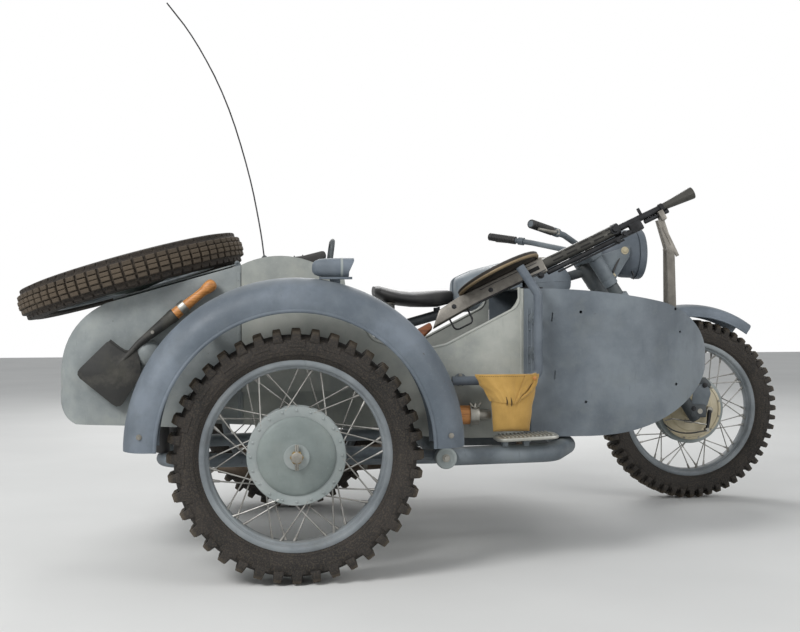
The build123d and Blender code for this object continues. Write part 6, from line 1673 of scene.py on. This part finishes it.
def build_gun():
    """The outside shape of a display gun: body and jacket, pan magazine, stock and bipod."""
    outline = [(-0.383, -0.024), (-0.344, 0.016), (-0.27, 0.026), (0.0, 0.026), (0.0, -0.022),
               (-0.04, -0.015), (-0.24, -0.015)]
    receiver = in_gun(soften(prism_mesh(outline, -0.0198, 0.0198), 0.004, 3, 25))
    jacket = [(0.0, 0.0), (0.0, 0.0166), (0.004, 0.017), (0.25, 0.017), (0.2545, 0.0155), (0.255, 0.0)]
    meshes = [(receiver, RECEIVER_STEEL), (gun_lathe(jacket, (0, 0, 0.004)), BLUED_BRIGHT)]
    for k in range(5):
        for angle in (60, 105, 150):
            place = Matrix.Translation((0.028 + 0.046 * k, 0, 0.004))
            place = place @ Matrix.Rotation(math.radians(angle), 4, "X")
            slot = slab_mesh((0.0, -0.0026, 0.0155), (0.034, 0.0026, 0.0177), 0.0006, place)
            meshes.append((in_gun(slot), HOLE_BLACK))
    rods = (
        (0.255, 0.004, 0.15, 0.0102), (0.0, -0.022, 0.3, 0.008), (0.03, -0.0345, 0.225, 0.003),
        (0.235, 0.004, 0.02, 0.0188), (0.335, -0.013, 0.082, 0.0066), (0.395, 0.004, 0.012, 0.0135),
    )
    for start, height, length, radius in rods:
        round_rod = [(0.0, 0.0), (0.0, radius - 0.001), (0.001, radius), (length - 0.001, radius),
                     (length, radius - 0.001), (length, 0.0)]
        meshes.append((gun_lathe(round_rod, (start, 0, height)), DARK_STEEL))
    meshes.append((gun_lathe([(0.0, 0.0), (0.0, 0.0105), (0.012, 0.0112), (0.1, 0.0186), (0.1045, 0.0186),
                              (0.105, 0.0175), (0.103, 0.015), (0.09, 0.0)], (0.405, 0, 0.004)),
                   BLUED_BRIGHT))
    meshes.append((in_gun(slab_mesh((0.285, -0.009, -0.03), (0.325, 0.009, 0.01), 0.003)), DARK_STEEL))
    loop = bend_points([(-0.326, 0, -0.02), (-0.326, 0, -0.059), (-0.265, 0, -0.059), (-0.265, 0, -0.012)],
                       0.016)
    meshes.append((in_gun(tube_mesh(loop, 0.0028, 10)), DARK_STEEL))
    for low, high, edge, finish in (
        ((0.332, -0.0028, 0.008), (0.341, 0.0028, 0.0335), 0.001, DARK_STEEL),
        ((-0.25, -0.0206, -0.0165), (-0.004, -0.019, -0.0135), 0.0005, DARK_STEEL),
        ((-0.21, -0.0204, 0.015), (-0.02, -0.019, 0.017), 0.0005, DARK_STEEL),
        ((-0.06, -0.0206, -0.006), (-0.02, -0.019, 0.006), 0.0015, HOLE_BLACK),
    ):
        meshes.append((in_gun(slab_mesh(low, high, edge)), finish))
    for place, size in (((0.239, -0.017, 0.003), 0.01), ((0.233, -0.007, -0.03), 0.007),
                        ((0.262, -0.007, -0.0215), 0.007), ((-0.18, -0.019, 0.002), 0.005),
                        ((-0.3, -0.019, 0.005), 0.005), ((-0.025, -0.014, -0.022), 0.0075)):
        meshes.append((in_gun(bolts_mesh([Vector(place)], (0, -1, 0), size, size * 0.8)), DARK_STEEL))
    make("gun_steel", "chassis", "gun_body", meshes, sharp=40)

    pan = [(0.0, 0.0), (0.0, 0.112), (0.003, 0.118), (0.006, 0.128), (0.009, 0.1315), (0.016, 0.1315),
           (0.019, 0.128), (0.0205, 0.112), (0.0215, 0.095), (0.0235, 0.085), (0.0245, 0.04),
           (0.0258, 0.034), (0.0258, 0.0)]
    bead = [(0.0075 + 0.0062 * math.cos(a), 0.1258 + 0.0062 * math.sin(a))
            for a in (2 * math.pi * k / 12 for k in range(13))]
    seat, upward = (-0.135, 0, 0.0263), (0, 0, 1)
    meshes = [(gun_lathe(pan, seat, upward, 72), PAN_DARK)]
    for r in (0.055, 0.078):
        rib = [(0.0231, r - 0.003), (0.0246, r), (0.0231, r + 0.003)]
        meshes.append((gun_lathe(rib, seat, upward, 60), PAN_DARK))
    meshes.append((in_gun(lathe_mesh(bead, seat, upward, 72, closed=True)), PAN_TAN))
    make("pan_magazine", "chassis", "gun_magazine", meshes)

    outline = [(-0.3833, -0.024), (-0.3833, -0.004), (-0.42, -0.006), (-0.6, 0.002), (-0.628, -0.006),
               (-0.628, -0.084), (-0.6, -0.084), (-0.44, -0.042)]
    wood = in_gun(soften(prism_mesh(outline, -0.0168, 0.0168), 0.0065, 4, 20))
    make("gun_wood", "chassis", "gun_stock", [(wood, STOCK_WOOD)])

    make("gun_bipod", "chassis", "gun_legs", [(soft_copy("gun_legs", 0.0012), RECEIVER_STEEL)])


build_gun()


def stuffed(node, shrink, cap, channels):
    """A cushion swelled by simulated cloth from a smaller copy of its CAD solid, then sewn through.

    cap is how far a point may move, in metres; channels are x places of the sewn lines.
    """
    mesh = soft_copy(node, 0.014, 4)
    points = [vertex.co for vertex in mesh.vertices]
    low = Vector([min(p[k] for p in points) for k in range(3)])
    high = Vector([max(p[k] for p in points) for k in range(3)])
    centre, half = (low + high) / 2, (high - low) / 2
    for point in points:
        for k in range(3):
            point[k] = centre[k] + (point[k] - centre[k]) * (half[k] - shrink) / half[k]
    work = linked("cushion_work", mesh)
    remesh = work.modifiers.new("remesh", "REMESH")
    remesh.mode = "VOXEL"
    remesh.voxel_size = 0.006
    work = linked("cushion_work", finished_mesh(work))
    before = [vertex.co.copy() for vertex in work.data.vertices]
    cloth = work.modifiers.new("cloth", "CLOTH")
    cloth.settings.use_pressure = True
    cloth.settings.uniform_pressure_force = 4
    cloth.settings.effector_weights.gravity = 0
    cloth.point_cache.frame_start = 1
    cloth.point_cache.frame_end = 20
    for number in range(1, 21):
        bpy.context.scene.frame_set(number)
    work = linked("cushion_work", finished_mesh(work))
    bpy.context.scene.frame_set(1)
    for vertex, start in zip(work.data.vertices, before):
        step = vertex.co - start
        if step.length > cap:
            vertex.co = start + step * (cap / step.length)
        for k in range(3):
            vertex.co[k] = min(max(vertex.co[k], low[k]), high[k])
    smooth = work.modifiers.new("smooth", "SUBSURF")
    smooth.levels = smooth.render_levels = 1
    final = finished_mesh(work)
    normals = [vertex.normal.copy() for vertex in final.vertices]
    for vertex, normal in zip(final.vertices, normals):
        for place in channels:
            off = abs(vertex.co.x - place) / 0.012
            if off < 1:
                vertex.co -= normal * 0.007 * (1 - off * off) ** 2
    return final


def build_sidecar_seat():
    for name, node, channels in (("passenger_cushion", "seat_cushion", (0.2, 0.29, 0.38)),
                                 ("passenger_backrest", "seat_back", ())):
        pad = stuffed(node, 0.012, 0.022, [REAR_AXLE.x + x for x in channels])
        make(name, "chassis", node, [(pad, SEAT_CLOTH)])


build_sidecar_seat()


# Stage, light and camera

def build_stage():
    mesh = slab_mesh((-14, -9, -0.02), (14, 12, 0.0))
    material, tree, shader = start_material("pale_studio_floor", roughness=0.9)
    place = add(tree, "ShaderNodeTexCoord").outputs["Object"]
    mottle = noise(tree, place, 0.5, detail=3.0)
    tree.links.new(ramp(tree, mottle, [(0.3, "#dcdcda"), (0.7, "#e4e4e2")]),
                   shader.inputs["Base Color"])
    mesh.materials.append(material)
    linked("studio_floor", mesh)

    world = bpy.data.worlds.new("soft_studio")
    bpy.context.scene.world = world
    world.use_nodes = True
    tree = world.node_tree
    tree.nodes.clear()
    path = add(tree, "ShaderNodeLightPath")
    seen = add(tree, "ShaderNodeMath", {0: path.outputs["Is Camera Ray"], 1: path.outputs["Is Glossy Ray"]},
               operation="MAXIMUM")
    seen = add(tree, "ShaderNodeMath", {0: seen.outputs[0], 1: path.outputs["Is Transmission Ray"]},
               operation="MAXIMUM")
    soft = add(tree, "ShaderNodeBackground", inputs={"Color": linear("#eef1f4"), "Strength": 0.45})
    white = add(tree, "ShaderNodeBackground", inputs={"Color": (1, 1, 1, 1), "Strength": 1.0})
    blend = add(tree, "ShaderNodeMixShader", {0: seen.outputs[0], 1: soft.outputs[0], 2: white.outputs[0]})
    add(tree, "ShaderNodeOutputWorld", {0: blend.outputs[0]})

    for name, place, target, size, power in (
        ("key_lamp", (-2.6, -3.6, 3.4), (0.4, -0.6, 0.4), 1.6, 150),
        ("fill_lamp", (3.8, -3.4, 2.2), (0.9, -0.6, 0.5), 2.4, 55),
        ("back_lamp", (0.6, 3.6, 3.2), (0.6, -0.2, 0.6), 2.6, 90),
    ):
        light = bpy.data.lights.new(name, "AREA")
        light.energy, light.size = power, size
        lamp = linked(name, light)
        lamp.location = at(*place)
        lamp.rotation_euler = (at(*target) - at(*place)).to_track_quat("-Z", "Y").to_euler()


def build_camera():
    """The photo's own view: 6.25 degrees off square, nearly level, a little over four metres off."""
    camera = bpy.data.cameras.new("photo_view")
    camera.sensor_width = 36.0
    camera.lens = 1098 / 800 * 36.0
    holder = linked("photo_view", camera)
    yaw, pitch, roll = (math.radians(angle) for angle in (6.25, -0.69, -0.14))
    looking = (Matrix.Rotation(-yaw, 4, "Z") @ Matrix.Rotation(math.pi / 2 + pitch, 4, "X")
               @ Matrix.Rotation(roll, 4, "Z"))
    holder.matrix_world = Matrix.Translation(at(-0.043, -4.064, 0.746)) @ looking
    bpy.context.scene.camera = holder


build_stage()
build_camera()
bpy.context.scene.view_settings.view_transform = "Standard"
